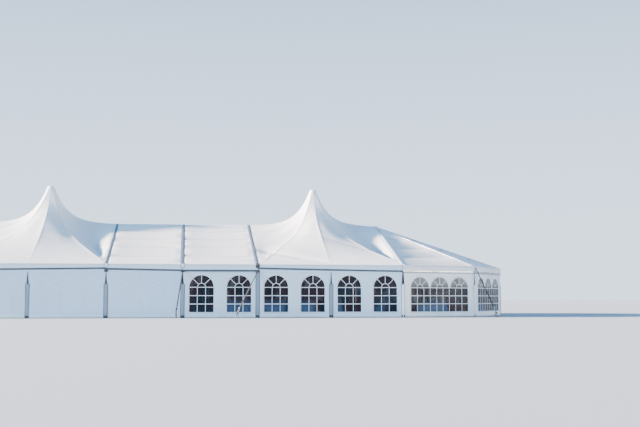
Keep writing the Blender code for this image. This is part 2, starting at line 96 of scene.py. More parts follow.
class Finish:
    """A procedural material in the making."""

    def __init__(self, name, owner=None):
        self.material = owner or bpy.data.materials.new(name)
        self.material.use_nodes = True
        self.tree = self.material.node_tree
        self.tree.nodes.clear()

    def node(self, kind, settings=None, inputs=None, out=0):
        """Adds a node: its settings first, then the values or links of its sockets."""
        made = self.tree.nodes.new("ShaderNode" + kind)
        for key, value in (settings or {}).items():
            setattr(made, key, value)
        for key, value in (inputs or {}).items():
            if isinstance(value, Socket):
                self.tree.links.new(value.output, made.inputs[key])
            elif isinstance(value, tuple) and made.inputs[key].type == "RGBA":
                made.inputs[key].default_value = (*value, 1.0)
            else:
                made.inputs[key].default_value = value
        return Socket(self, made.outputs[out]) if made.outputs else None

    def place(self):
        """The surface's own place in metres, as a vector."""
        return self.node("TexCoord", out="Object")

    def along(self, spot, axis):
        return self.node("SeparateXYZ", inputs={0: spot}, out=axis)

    def stretched(self, spot, scale):
        """A place scaled apart along each axis."""
        return self.node("VectorMath", {"operation": "MULTIPLY"}, {0: spot, 1: scale})

    def attribute(self, name):
        return self.node("Attribute", {"attribute_name": name}, out="Fac")

    def clouds(self, spot, scale, detail=3.0, rough=0.55):
        """Noise of some size, detail and roughness."""
        inputs = {"Vector": spot, "Scale": scale, "Detail": detail, "Roughness": rough}
        return self.node("TexNoise", inputs=inputs)

    def step(self, value, low, high):
        """Goes smoothly from nothing at low to one at high."""
        inputs = {0: value, 1: low, 2: high, 3: 0.0, 4: 1.0}
        return self.node("MapRange", {"interpolation_type": "SMOOTHSTEP"}, inputs)

    def blend(self, share, first, second):
        """A colour between two."""
        return self.node("Mix", {"data_type": "RGBA"}, {0: share, 6: first, 7: second}, out=2)

    def sine(self, value):
        return self.node("Math", {"operation": "SINE"}, {0: value})

    def bump(self, height, distance, strength=1.0, under=None):
        inputs = {"Height": height, "Distance": distance, "Strength": strength}
        if under is not None:
            inputs["Normal"] = under
        return self.node("Bump", inputs=inputs)

    def surface(self, **sockets):
        """Ends the material with its shader."""
        named = {key.replace("_", " "): value for key, value in sockets.items()}
        shader = self.node("BsdfPrincipled", inputs=named)
        self.node("OutputMaterial", inputs={0: shader})
        return self.material


MILL_SPECK = (0.20, 0.20, 0.20)
MILL_SHINE = 0.85


def mill_aluminium(name, bright, dull, lines_across, dark_up_to=None):
    """Aluminium with fine extrusion lines that vary across the given axes, dark below a height: paint and
    painted shade.
    """
    finish = Finish(name)
    spot = finish.place()
    lines = finish.clouds(finish.stretched(spot, lines_across), 1.0, 2.0)
    patches = finish.step(finish.clouds(spot, 1.7, 5.0, 0.62), 0.42, 0.66)
    specks = finish.step(finish.clouds(spot, 38.0, 2.0), 0.62, 0.70)
    tone = finish.blend(patches * 0.7 + lines * 0.3, bright, dull)
    tone = finish.blend(specks * 0.35, tone, MILL_SPECK)
    relief = finish.bump(lines, 0.0006, 0.5)
    rough = 0.34 + patches * 0.16 + lines * 0.08
    metal = MILL_SHINE
    # Below this height the legs take a slate colour, partly paint and partly painted shade seen through the
    # curtain slits.
    if dark_up_to:
        bare = finish.step(finish.along(spot, 2), dark_up_to - 0.004, dark_up_to + 0.004)
        paint = finish.blend(patches * 0.5, LEG_PAINT_AND_SHADE, LEG_PAINT_WORN_AND_SHADE)
        tone = finish.blend(bare, paint, tone)
        metal = bare * MILL_SHINE
    return finish.surface(Base_Color=tone, Metallic=metal, Roughness=rough, Normal=relief)


MILL_BRIGHT = (0.62, 0.63, 0.65)
MILL_DULL = (0.44, 0.45, 0.47)
ALUMINIUM = mill_aluminium("mill_aluminium", MILL_BRIGHT, MILL_DULL, (260.0, 9.0, 9.0), LEG_TOP)
RIDGE_ALUMINIUM = mill_aluminium("ridge_aluminium", MILL_BRIGHT, MILL_DULL, (6.0, 260.0, 260.0))


def refinish(names, material):
    """Gives CAD nodes a finished material."""
    for name in names:
        slots = nodes[name].data.materials
        slots.clear()
        slots.append(material)


refinish(PORTALS + HIP_FRAMES + ("king_post_left", "king_post_right"), ALUMINIUM)
refinish(("ridge_beam",), RIDGE_ALUMINIUM)


# Eave beams: the beams between the legs, coloured slate grey, partly their powder coat and partly
# painted shade of the gap under the valance. Their lower edge shows as a dark line under the valance.
# The coat is slightly pebbled and chalked, with runs of dirt.
DARK_BEAMS = ("eave_beam_front", "eave_beam_back")
DIRT_RUN = (0.045, 0.045, 0.042)


def powder_coat(name, fresh, chalked):
    """A pebbled paint that has chalked in patches and carries runs of dirt."""
    finish = Finish(name)
    spot = finish.place()
    pebbles = finish.clouds(spot, 420.0, 1.0)
    chalk = finish.step(finish.clouds(spot, 2.3, 5.0, 0.65), 0.40, 0.72)
    runs = finish.step(finish.clouds(finish.stretched(spot, (9.0, 9.0, 0.6)), 1.0, 3.0), 0.52, 0.75)
    tone = finish.blend(chalk * 0.6, fresh, chalked)
    tone = finish.blend(runs * 0.4, tone, DIRT_RUN)
    relief = finish.bump(pebbles, 0.0004, 0.6)
    return finish.surface(Base_Color=tone, Metallic=0.15, Roughness=0.46 + chalk * 0.18, Normal=relief)


# Slate that is partly paint and partly painted shade of the gaps under the valance and between the covers.
SLATE_AND_GAP_SHADE = powder_coat("slate_coat_and_gap_shade", (0.065, 0.08, 0.095), (0.13, 0.145, 0.16))
refinish(DARK_BEAMS, SLATE_AND_GAP_SHADE)


# Cover rails: grooved aluminium strips screwed along the top of each middle portal, the right one
# coloured slate. The beaded edges of the covers slide up the two grooves, and a moulded cap closes the
# rail at each eave. The rails and beads are darker than bare metal and white cloth: partly their own
# colour and partly painted shade of the gap between the covers.
PORTAL_GAP = 0.045
RAIL_HALF = 0.038
DARK_RAIL_HALF = 0.025
DARK_RAIL_GAP = 0.031
RAIL_SIT = 0.006
RAIL_HIGH = 0.016
RAIL_PLACES = (("rail_left", -BAY), ("rail_middle", 0.0), ("rail_right", BAY))
CAP_HALF = 0.075
CAP_DROP = 0.17
CAP_OUT = 0.024
CAP_ABOVE = 0.028
CAP_LOWER = 0.035
BEAD_ROUND = 0.006


def add_piece(name, mesh, materials):
    """Puts a mesh in the scene as a piece that rides on the frame."""
    for material in materials:
        mesh.materials.append(material)
    obj = bpy.data.objects.new(name, mesh)
    bpy.context.scene.collection.objects.link(obj)
    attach(obj, "root")
    return obj


def mesh_of(name, points, faces, smooth=True, material_of=None):
    """A mesh from its points and faces, with a material number for each face."""
    mesh = bpy.data.meshes.new(name)
    mesh.from_pydata([tuple(p) for p in points], [], faces)
    mesh.polygons.foreach_set("use_smooth", [smooth] * len(faces))
    if material_of is not None:
        mesh.polygons.foreach_set("material_index", material_of)
    mesh.update()
    return mesh


def swept(profile, rims, closed=True):
    """Points and faces of one profile carried along a row of places."""
    count = len(profile)
    points = [rim(across, up) for rim in rims for across, up in profile]
    faces = []
    for k in range(len(rims) - 1):
        for i in range(count if closed else count - 1):
            j = (i + 1) % count
            first = k * count
            faces.append((first + i, first + j, first + count + j, first + count + i))
    if closed:
        faces += [tuple(range(count))[::-1], tuple((len(rims) - 1) * count + i for i in range(count))]
    return points, faces


def joined(parts):
    """One list of points and faces from several, with a material number for each face."""
    points, faces, numbers = [], [], []
    for some, their_faces, number in parts:
        start = len(points)
        points += some
        faces += [tuple(start + i for i in face) for face in their_faces]
        numbers += [number] * len(their_faces)
    return points, faces, numbers


def turned_out(mesh):
    """Points every face of a mesh outwards."""
    work = bmesh.new()
    work.from_mesh(mesh)
    bmesh.ops.recalc_face_normals(work, faces=work.faces)
    work.to_mesh(mesh)
    work.free()
    return mesh


def roof_height(y):
    """Height of the rafters' upper side at a distance from the ridge."""
    return RIDGE - PITCH * abs(y)


def softened(obj, width, segments=2):
    """Rounds the sharp edges of a piece."""
    bevel = obj.modifiers.new("soft_edges", "BEVEL")
    bevel.width = width
    bevel.segments = segments
    bevel.limit_method = "ANGLE"
    return obj


def rail_rims(x):
    """Places along both slopes of a portal, from the front eave to the back."""
    stops = [-HALF_WIDTH - 0.004, -0.03, 0.0, 0.03, HALF_WIDTH + 0.004]
    return [lambda across, up, y=y: Vector((x + across, y, roof_height(y) - RAIL_SIT + up)) for y in stops]


def cover_rail(name, x, lip, finish):
    """A rail with a groove on each side of its rib, and the bead of a cover in each groove."""
    groove, depth = lip - 0.007, 0.005
    half = [(0.006, RAIL_HIGH), (groove - 0.012, RAIL_HIGH * 0.9), (groove - 0.009, depth), (groove, depth)]
    half += [(groove, RAIL_HIGH * 0.75), (lip, RAIL_HIGH * 0.6), (lip, 0.0)]
    profile = [(-a, u) for a, u in reversed(half)] + half
    rail = swept(profile, rail_rims(x))
    beads = []
    for hand in (-1, 1):
        ring = [(hand * (groove - 0.004) + BEAD_ROUND * math.cos(t), 0.011 + BEAD_ROUND * math.sin(t))
                for t in (math.pi * k / 4 for k in range(8))]
        beads.append(swept(ring, rail_rims(x)))
    points, faces, numbers = joined([(*rail, 0)] + [(*bead, 1) for bead in beads])
    mesh = turned_out(mesh_of(name, points, faces, False, numbers))
    softened(add_piece(name, mesh, [finish, BEAD_AND_GAP_SHADE]), 0.0012)


def rail_cap(name, x, side, face):
    """The moulded cap over a rail's foot on its dark gasket, with a shallow dish pressed in its face."""
    work = bmesh.new()
    rings = []
    gasket = [(-0.012, 0.0), (-0.012, 0.012), (0.008, 0.012), (0.008, 0.020)]
    for inset, out in gasket + [(0.014, CAP_OUT), (0.028, CAP_OUT), (0.034, CAP_OUT - 0.004)]:
        wide, top = CAP_HALF - inset, EAVE + CAP_ABOVE - inset
        low = EAVE - CAP_DROP + CAP_LOWER + inset
        spots = [(-wide, low), (wide, low), (wide, top), (-wide, top)]
        rings.append([work.verts.new((x + a, side * (HALF_WIDTH + out), z)) for a, z in spots])
    for ring, (inner, outer) in enumerate(zip(rings, rings[1:])):
        for i in range(4):
            j = (i + 1) % 4
            work.faces.new((inner[i], inner[j], outer[j], outer[i])).material_index = ring > 2
    work.faces.new(rings[-1]).material_index = 1
    work.faces.new(rings[0])
    bmesh.ops.recalc_face_normals(work, faces=work.faces)
    mesh = bpy.data.meshes.new(name)
    work.to_mesh(mesh)
    work.free()
    softened(add_piece(name, mesh, [CAP_RUBBER, face]), 0.003, 3)


def moulded_rubber(name, colour, dusty=(0.16, 0.16, 0.15)):
    """Matt rubber or moulded plastic with a fine grain and dust in patches."""
    finish = Finish(name)
    spot = finish.place()
    dust = finish.step(finish.clouds(spot, 9.0, 4.0, 0.6), 0.45, 0.7)
    tone = finish.blend(dust * 0.4, colour, dusty)
    grain = finish.bump(finish.clouds(spot, 260.0, 2.0), 0.0006, 0.7)
    return finish.surface(Base_Color=tone, Roughness=0.62 + dust * 0.2, Normal=grain)


# Rail and bead colours are partly their own and partly painted shade of the gap between the covers.
RAIL_ALUMINIUM_AND_GAP_SHADE = mill_aluminium("rail_aluminium_and_gap_shade", (0.34, 0.37, 0.40), (0.22, 0.25, 0.28), (320.0, 5.0, 5.0))
CAP_RUBBER = moulded_rubber("cap_rubber", (0.035, 0.04, 0.045))
CAP_WHITE = moulded_rubber("cap_white", (0.72, 0.76, 0.80), (0.50, 0.52, 0.54))
BEAD_AND_GAP_SHADE = moulded_rubber("cover_bead_and_gap_shade", (0.09, 0.10, 0.11))
for rail_name, rail_x in RAIL_PLACES:
    dark = rail_name == "rail_right"
    cover_rail(rail_name, rail_x, DARK_RAIL_HALF if dark else RAIL_HALF, SLATE_AND_GAP_SHADE if dark else RAIL_ALUMINIUM_AND_GAP_SHADE)
    cap_face = CAP_RUBBER if dark else CAP_WHITE
    rail_cap(rail_name + "_front_cap", rail_x, -1, cap_face)
    rail_cap(rail_name + "_back_cap", rail_x, 1, cap_face)


# Ridge covers: one sheet of PVC-coated polyester from eave to eave in each middle bay, welded from strips
# that run along the tent. It is held at the two rails, at the ridge and at the eaves, and sags between.
COVER_THICK = 0.002
PITCH_COS = math.cos(math.atan(PITCH))
RIDGE_COLUMNS = 40
RIDGE_ROWS = 300
RIDGE_SAG = 0.055
RIDGE_ROUND = 0.05
STRIP = 1.30
RIDGE_FIRST = 1.17
STRIP_BELLY = 0.028
EASE_AT_EAVE = 0.35
EASE_AT_RIDGE = 0.45
BROAD_SWELL = 0.016
LONG_SWELL = 0.010
FINE_SWELL = 0.004
LEFT_ROLLS = ((0.22, 0.34, 0.020, 0.05), (0.44, 0.60, -0.024, 0.018), (0.62, 0.74, 0.016, 0.05))
RIGHT_ROLLS = ((0.18, 0.185, -0.012, 0.012), (0.41, 0.40, -0.022, 0.014), (0.57, 0.585, -0.014, 0.014),
               (0.79, 0.83, -0.018, 0.015))


def swell(x, y, seed, size=1.0):
    """Soft hollows and swells of a slack sheet, in metres."""
    broad = noise.noise(Vector((x * 0.55, y * 0.75, seed)))
    rolls = noise.noise(Vector((x * 0.28, y * 2.1, seed + 7.0)))
    fine = noise.noise(Vector((x * 1.1, y * 3.4, seed + 13.0)))
    return size * (BROAD_SWELL * broad + LONG_SWELL * rolls + FINE_SWELL * fine)


def belly(rise):
    """Height of a welded strip over its seams, between which it bellies out."""
    return STRIP_BELLY * abs(math.sin(math.pi * rise / STRIP))


def rolled(rolls, t, v):
    """Long rolls and creases of a slack cover, each from a share of the slope at one side to another."""
    total = 0
    for low, far, high, wide in rolls:
        total += high * math.exp(-((v - low - (far - low) * t) / wide) ** 2)
    return total


def grid_faces(rows, columns, wrap=False):
    """Faces of a grid of points, row by row."""
    faces = []
    for r in range(rows - 1):
        for c in range(columns if wrap else columns - 1):
            d = (c + 1) % columns
            faces.append((r * columns + c, r * columns + d, (r + 1) * columns + d, (r + 1) * columns + c))
    return faces


def store(mesh, **values):
    """Keeps numbers at the points of a mesh for its material to read."""
    for name, numbers in values.items():
        attribute = mesh.attributes.new(name, "FLOAT", "POINT")
        attribute.data.foreach_set("value", np.asarray(numbers, np.float32))


def thickened(obj, thickness, offset=-1.0):
    """Gives a sheet its thickness: below it at minus one, about it at nothing, over it at one."""
    solid = obj.modifiers.new("thickness", "SOLIDIFY")
    solid.thickness = thickness
    solid.offset = offset
    return obj


def cloth_piece(name, points, faces, rise, side, cloth, thickness, offset=-1.0):
    """A sheet of cloth as a piece, with its distances from the seams kept for its material."""
    mesh = mesh_of(name, points, faces)
    store(mesh, rise=rise, side=side)
    return thickened(add_piece(name, mesh, [cloth]), thickness, offset)


LAP_SHADOW_TONE = (0.30, 0.32, 0.37)
LAP_SHADE = (0.42, 0.44, 0.47)
STITCH_AND_SHADOW_TONE = (0.36, 0.39, 0.45)
HEM_SHADE = (0.90, 0.91, 0.93)
SPLASH_SHADE = (0.36, 0.36, 0.27)
SPLASH_HIGH = 0.16
THREADS = 2100.0


def coated_cloth(name, clean, grey, strip=0.0, hem=0.0, wall=False, stitch_and_shadow_share=0.0):
    """PVC-coated polyester: a fine weave under a satin coat, weld seams with a painted shadow along each
    lap, rain streaks and soft creases.
    """
    finish = Finish(name)
    spot = finish.place()
    rise = finish.attribute("rise")
    side = finish.attribute("side")
    mottle = finish.step(finish.clouds(spot, 0.45, 4.0, 0.6), 0.35, 0.70)
    streak_scale = (7.0, 7.0, 0.5) if wall else (5.0, 0.55, 0.55)
    streaks = finish.step(finish.clouds(finish.stretched(spot, streak_scale), 1.0, 3.0), 0.50, 0.78)
    tone = finish.blend(mottle * 0.35 + streaks * 0.30, clean, grey)
    creases = finish.clouds(finish.stretched(spot, (1.6, 1.6, 1.0)), 1.5, 5.0, 0.5)
    height = creases * 0.6
    if strip:
        off_seam = abs((rise + strip / 2) % strip - strip / 2)
        weld = 1 - finish.step(off_seam, 0.018, 0.024)
        # A dark line along each lap: partly the weld, partly a painted shadow of the overlapping strip.
        lap_shadow = 1 - finish.step(abs(off_seam - 0.018), 0.006, 0.024)
        tone = finish.blend(lap_shadow * 0.62, tone, LAP_SHADOW_TONE)
        height = height + weld * 0.25
    hip_lap = 1 - finish.step(abs(side - 0.03), 0.004, 0.014)
    tone = finish.blend(hip_lap * 0.30, tone, LAP_SHADE)
    # A dark line where rise is nothing: the hem's stitching on walls, and on valances a painted shadow in
    # the recess under the eave bead.
    if stitch_and_shadow_share:
        stitch_and_shadow = 1 - finish.step(rise, 0.005, 0.016)
        tone = finish.blend(stitch_and_shadow * stitch_and_shadow_share, tone, STITCH_AND_SHADOW_TONE)
    if hem:
        up = finish.along(spot, 2)
        doubled = 1 - finish.step(up, hem - 0.004, hem + 0.004)
        tone = finish.blend(doubled * 0.45, tone, HEM_SHADE)
        height = height + doubled * 0.3
        splash = finish.step(finish.clouds(spot, 14.0, 4.0, 0.65), 0.38, 0.66)
        tone = finish.blend((1 - finish.step(up, 0.0, SPLASH_HIGH)) * splash * 0.40, tone, SPLASH_SHADE)
    cross = finish.sine(finish.along(spot, 0) * THREADS)
    down = finish.sine(finish.along(spot, 2 if wall else 1) * THREADS)
    weave = finish.bump(cross * down, 0.00025, 0.25)
    folds = finish.bump(height, 0.006, 0.55, weave)
    return finish.surface(Base_Color=tone, Roughness=0.40 + mottle * 0.10 + streaks * 0.08, Normal=folds,
                          Specular_IOR_Level=0.45, Sheen_Weight=0.06, Sheen_Roughness=0.5)


ROOF_CLEAN = (0.84, 0.83, 0.825)
ROOF_GREY = (0.70, 0.70, 0.70)
ROOF_CLOTH = coated_cloth("roof_cloth", ROOF_CLEAN, ROOF_GREY, strip=STRIP)


def ridge_cover(node, low_x, high_x, seed, rolls):
    """The sheet of one middle bay, from the front eave over the ridge to the back."""
    rows = np.linspace(-HALF_WIDTH, HALF_WIDTH, RIDGE_ROWS + 1)
    columns = np.linspace(0.0, 1.0, RIDGE_COLUMNS + 1)
    points, rise, side = [], [], []
    for y in rows:
        inset = HALF_WIDTH - abs(y)
        down = inset / PITCH_COS - RIDGE_FIRST
        held = min(1.0, inset / EASE_AT_EAVE) * min(1.0, abs(y) / EASE_AT_RIDGE)
        slack = math.sin(math.pi * min(1.0, inset / HALF_WIDTH)) ** 0.6
        for t in columns:
            x = low_x + (high_x - low_x) * t
            across = 4 * t * (1 - t)
            loose = held * min(1.0, across * 3)
            z = roof_height(y) - RIDGE_SAG * slack * across ** 0.8
            z += (swell(x, y, seed) + belly(down)) * loose
            z += rolled(rolls, t if y < 0 else 1 - t, abs(y) / HALF_WIDTH) * loose
            crown = abs(y) + RIDGE_ROUND - math.hypot(y, RIDGE_ROUND)
            z += PITCH * crown * math.exp(-(y / 0.3) ** 2)
            points.append((x, y, z))
            rise.append(down)
            side.append(min(t, 1 - t) * (high_x - low_x))
    faces = grid_faces(len(rows), len(columns))
    cover = cloth_piece(node + "_cloth", points, faces, rise, side, ROOF_CLOTH, COVER_THICK)
    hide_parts(node)


ridge_cover("ridge_cover_left", -BAY + PORTAL_GAP, -PORTAL_GAP, 3.1, LEFT_ROLLS)
ridge_cover("ridge_cover_right", PORTAL_GAP, BAY - DARK_RAIL_GAP, 8.7, RIGHT_ROLLS)


# Peak covers: a PVC sheet over two bays, cut in gores and drawn up over the disc of a king post. Welded
# seams run down to the four corners and to the middle of each side, with soft pulls between them.
PEAK_X = 2 * BAY
PEAK = 5.87
CAP_RADIUS = 0.14
CAP_FALL = 0.012
SEAM_GAP = 0.002
RIDGE_FLARE = 0.62
HIP_FLARE = 1.1
MAST_FLARE = 0.5
MIDDLE_SHARE = 0.5
MIDDLE_POWER = 1.5
HOLLOW = 0.20
HOLLOW_END = 0.86
HOLLOW_LEFT = 0.16
HOLLOW_LOW = 1.5
OVER_RAFTER = 0.955
PULLS = 13
PULL_HIGH = 0.018
PULL_REACH = 2.1
PULL_LONG = 0.9
CREASE_HIGH = 0.012
MIDDLE_SEAM_HIGH = 0.005
CREASE_WIDE = 0.06
EASE_AT_RIM = 0.5
EASE_AT_CAP = 0.8
LOW_SEAM_START = 1.6
LOW_SEAM_EASE = 1.2
PEAK_SIDE_STEPS = 52
NEAR_SEAM = (0.01, 0.02, 0.035)
PEAK_RINGS = 84
RING_POWER = 1.5
LEFT_PEAK_ROLLS = ((0.30, 0.38, 0.022, 0.05), (0.42, 0.60, -0.020, 0.030), (0.74, 0.92, 0.020, 0.05))
RIGHT_PEAK_ROLLS = ((0.65, 1.28, -0.060, 0.042), (0.83, 1.19, -0.024, 0.020), (0.20, 0.75, -0.014, 0.030))


def fading(reach, length, end):
    """Falls from one at the cap to nothing at the end, most of it within the length."""
    low = math.exp((CAP_RADIUS - end) / length)
    return (math.exp((CAP_RADIUS - reach) / length) - low) / (1 - low)


def flare_to_middle_post(reach):
    """A sharp fall from the cap, then a long and nearly straight one to the eave."""
    straight = max(0.0, 1 - (reach - CAP_RADIUS) / (HALF_WIDTH - CAP_RADIUS))
    sharp = fading(reach, MAST_FLARE, HALF_WIDTH)
    return MIDDLE_SHARE * sharp + (1 - MIDDLE_SHARE) * straight ** MIDDLE_POWER


def hollow(u, v, left):
    """Depth of the cover's fall between a crease and the rafter beside it, less to the left of a peak."""
    if u <= v or u >= OVER_RAFTER or v >= HOLLOW_END:
        return 0.0
    across = (u - v) / (OVER_RAFTER - v)
    deep = HOLLOW * (HOLLOW_LEFT if left else 1)
    return deep * math.sin(math.pi * across) * math.sin(math.pi * (v / HOLLOW_END) ** HOLLOW_LOW)


def peak_height(dx, dy, hand):
    """Height of the cover at an offset from the peak."""
    u, v = abs(dx) / BAY, abs(dy) / HALF_WIDTH
    way = max(u, v)
    hip = math.hypot(BAY, HALF_WIDTH)
    crease = fading(way * hip, HIP_FLARE, hip)
    between = fading(way * BAY, RIDGE_FLARE, BAY) if u >= v else flare_to_middle_post(way * HALF_WIDTH)
    rise = between + (crease - between) * min(u, v) / way
    return RIDGE - (RIDGE - EAVE) * v - hollow(u, v, hand * dx < 0) + (PEAK - RIDGE) * rise


def from_line(dx, dy, end):
    """Distance of a point from the line that runs out from the peak through an end."""
    return abs(dx * end[1] - dy * end[0]) / math.hypot(*end)


def peak_cover(node, hand, seed, rolls):
    """The sheet of two bays, as rings of points from the cap of the king post to the eaves."""
    rim = []
    near = [w for n in NEAR_SEAM for w in (-1 + n, -n, n, 1 - n)]
    for way in [2 * i / PEAK_SIDE_STEPS - 1 for i in range(PEAK_SIDE_STEPS)] + near:
        rim += [(BAY, HALF_WIDTH * way), (-BAY * way, HALF_WIDTH)]
        rim += [(-BAY, -HALF_WIDTH * way), (BAY * way, -HALF_WIDTH)]
    rim.sort(key=lambda spot: math.atan2(spot[1], spot[0]))
    shares = [(k / PEAK_RINGS) ** RING_POWER for k in range(PEAK_RINGS + 1)]
    seams = [(BAY, HALF_WIDTH), (BAY, -HALF_WIDTH), (0.0, 1.0)]
    points, side = [], []
    for reach in (0.3, 0.6, 0.85):
        for x, y in rim:
            turn = CAP_RADIUS * reach / math.hypot(x, y)
            points.append((hand * (PEAK_X + x * turn), y * turn, PEAK - CAP_FALL * reach ** 3))
            side.append(1.0)
    for share in shares:
        for x, y in rim:
            start = CAP_RADIUS / math.hypot(x, y) * (1 - share) + share
            dx, dy = x * start, y * start
            z = peak_height(dx, dy, hand) if share else PEAK - CAP_FALL
            reach, angle = math.hypot(dx, dy), math.atan2(dy, dx)
            edge = min(BAY - abs(dx), (HALF_WIDTH - abs(dy)) * 0.7)
            held = max(0.0, min(1.0, edge / EASE_AT_RIM))
            free = held * min(1.0, (reach - CAP_RADIUS) / EASE_AT_CAP)
            z += swell(hand * (PEAK_X + dx), dy, seed, 1.3) * free
            z += rolled(rolls, 0.5 + hand * dx / BAY / 2, abs(dy) / HALF_WIDTH) * free
            pulls = math.sin(angle * PULLS + 1.5 * noise.noise(Vector((angle * 2, reach * 0.6, seed))))
            z += PULL_HIGH * pulls * math.exp(-((reach - PULL_REACH) / PULL_LONG) ** 2) * held
            crease = min(from_line(dx, dy, end) for end in seams[:2])
            z += CREASE_HIGH * math.exp(-(crease / CREASE_WIDE) ** 2) * free
            low_share = max(0.0, min(1.0, (reach - LOW_SEAM_START) / LOW_SEAM_EASE))
            z += MIDDLE_SEAM_HIGH * math.exp(-(dx / CREASE_WIDE) ** 2) * free * low_share
            dx = max(min(dx, BAY - SEAM_GAP), (DARK_RAIL_GAP if hand > 0 else PORTAL_GAP) - BAY)
            points.append((hand * (PEAK_X + dx), dy, z))
            side.append(min(from_line(dx, dy, end) for end in seams))
    faces = grid_faces(len(points) // len(rim), len(rim), wrap=True)
    points.append((hand * PEAK_X, 0.0, PEAK))
    side.append(1.0)
    faces += [(len(points) - 1, i, (i + 1) % len(rim)) for i in range(len(rim))]
    mesh = turned_out(mesh_of(node + "_cloth", points, faces))
    store(mesh, rise=[STRIP / 2] * len(points), side=side)
    cover = thickened(add_piece(node + "_cloth", mesh, [ROOF_CLOTH]), COVER_THICK)
    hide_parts(node)


peak_cover("peak_cover_left", -1, 21.3, LEFT_PEAK_ROLLS)
peak_cover("peak_cover_right", 1, 34.9, RIGHT_PEAK_ROLLS)


# Hip covers: one PVC sheet over each many-sided end, welded from strips level with the eave. It is
# pulled tight over the four hip rafters and sinks a little between them.
SIDES = 5
TURN = math.pi / SIDES
MITRE_COS = math.cos(TURN / 2)
SIDE = 2 * HALF_WIDTH * math.sin(TURN / 2)
HIP_STEPS = 30
HIP_ROWS = 110
HIP_SAG = 0.10
HIP_EDGE = 0.20
HIP_EDGE_AT_PORTAL = 0.40
HIP_FIRST = 1.39


def corner_point(corner, inset):
    """A corner of the right end moved in by one distance from the sides beside it."""
    radius = HALF_WIDTH - inset / MITRE_COS
    return END_X + radius * math.sin(corner * TURN), -radius * math.cos(corner * TURN)


def hip_cover(node, hand, seed):
    """The sheet of one end, row by row from the eave to the apex, its doubled points welded."""
    apex = np.array((END_X + SEAM_GAP, 0.0, RIDGE))
    run = math.hypot(HALF_WIDTH * MITRE_COS, RIDGE - EAVE)
    points, rise, side = [], [], []
    for row in range(HIP_ROWS + 1):
        up = row / HIP_ROWS
        for facet in range(SIDES):
            first = np.array((*corner_point(facet, 0.0), EAVE))
            second = np.array((*corner_point(facet + 1, 0.0), EAVE))
            for k in range(HIP_STEPS + (facet == SIDES - 1)):
                t = (1 - math.cos(math.pi * k / HIP_STEPS)) / 2
                spot = (first + (second - first) * t) * (1 - up) + apex * up
                wide = SIDE * (1 - up)
                across = 4 * t * (1 - t)
                slack = math.sin(math.pi * min(1.0, up * 1.02)) ** 0.4
                edge = min(t, 1 - t) * wide
                before = HIP_EDGE_AT_PORTAL if facet == 0 else HIP_EDGE
                after = HIP_EDGE_AT_PORTAL if facet == SIDES - 1 else HIP_EDGE
                loose = (1 - math.exp(-t * wide / before)) * (1 - math.exp((t - 1) * wide / after))
                spot[2] -= HIP_SAG * slack * loose * min(1.0, wide / 0.8)
                held = min(1.0, across * 2.5) * min(1.0, up * run / EASE_AT_EAVE) * min(1.0, wide)
                form = swell(spot[0] + 3 * facet, spot[1], seed, 0.9) + belly(up * run - HIP_FIRST)
                spot[2] += form * held
                spot[0] = max(spot[0], END_X + SEAM_GAP)
                points.append((hand * spot[0], spot[1], spot[2]))
                rise.append(up * run - HIP_FIRST)
                side.append(edge)
    columns = SIDES * HIP_STEPS + 1
    mesh = mesh_of(node + "_cloth", points, grid_faces(HIP_ROWS + 1, columns))
    store(mesh, rise=rise, side=side)
    work = bmesh.new()
    work.from_mesh(mesh)
    bmesh.ops.remove_doubles(work, verts=work.verts, dist=0.0005)
    bmesh.ops.recalc_face_normals(work, faces=work.faces)
    if sum(face.normal.z for face in work.faces) < 0:
        bmesh.ops.reverse_faces(work, faces=work.faces)
    work.to_mesh(mesh)
    work.free()
    cover = thickened(add_piece(node + "_cloth", mesh, [ROOF_CLOTH]), COVER_THICK)
    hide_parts(node)


hip_cover("hip_cover_left", -1, 55.2)
hip_cover("hip_cover_right", 1, 61.8)


# End rails: the joint between each peak cover and its hip cover, closed by a welded flap over a pair of
# beads, which runs up the end portal over both slopes. The flap's white cloth is tinted grey-blue as
# painted shade.
FLAP_HALF = 0.055
FLAP_WELD = 0.024


def end_flap(name, hand):
    """The flap of one end portal, over both slopes."""
    x = hand * END_X
    stops = np.linspace(-HALF_WIDTH, HALF_WIDTH, 61)
    profile = [(-FLAP_HALF, 0.001), (-0.040, 0.005), (-0.030, 0.013), (-0.018, 0.015), (-0.008, 0.007)]
    profile += [(0.0, 0.005)] + [(-a, u) for a, u in reversed(profile)]
    rims = [lambda across, up, y=y: Vector((x + across, y, roof_height(y) + up)) for y in stops]
    points, faces = swept(profile, rims, closed=False)
    rise = [STRIP / 2] * len(points)
    side = [abs(abs(p[0] - x) - FLAP_WELD) * 2 + 0.02 for p in points]
    flap = cloth_piece(name, points, faces, rise, side, SHADED_FLAP_CLOTH, COVER_THICK, 1.0)


# Grey-blue as painted shade on white cloth.
SHADED_FLAP_CLOTH = coated_cloth("shaded_flap_cloth", (0.56, 0.60, 0.66), (0.42, 0.46, 0.52))
end_flap("left_end_flap", -1)
end_flap("right_end_flap", 1)


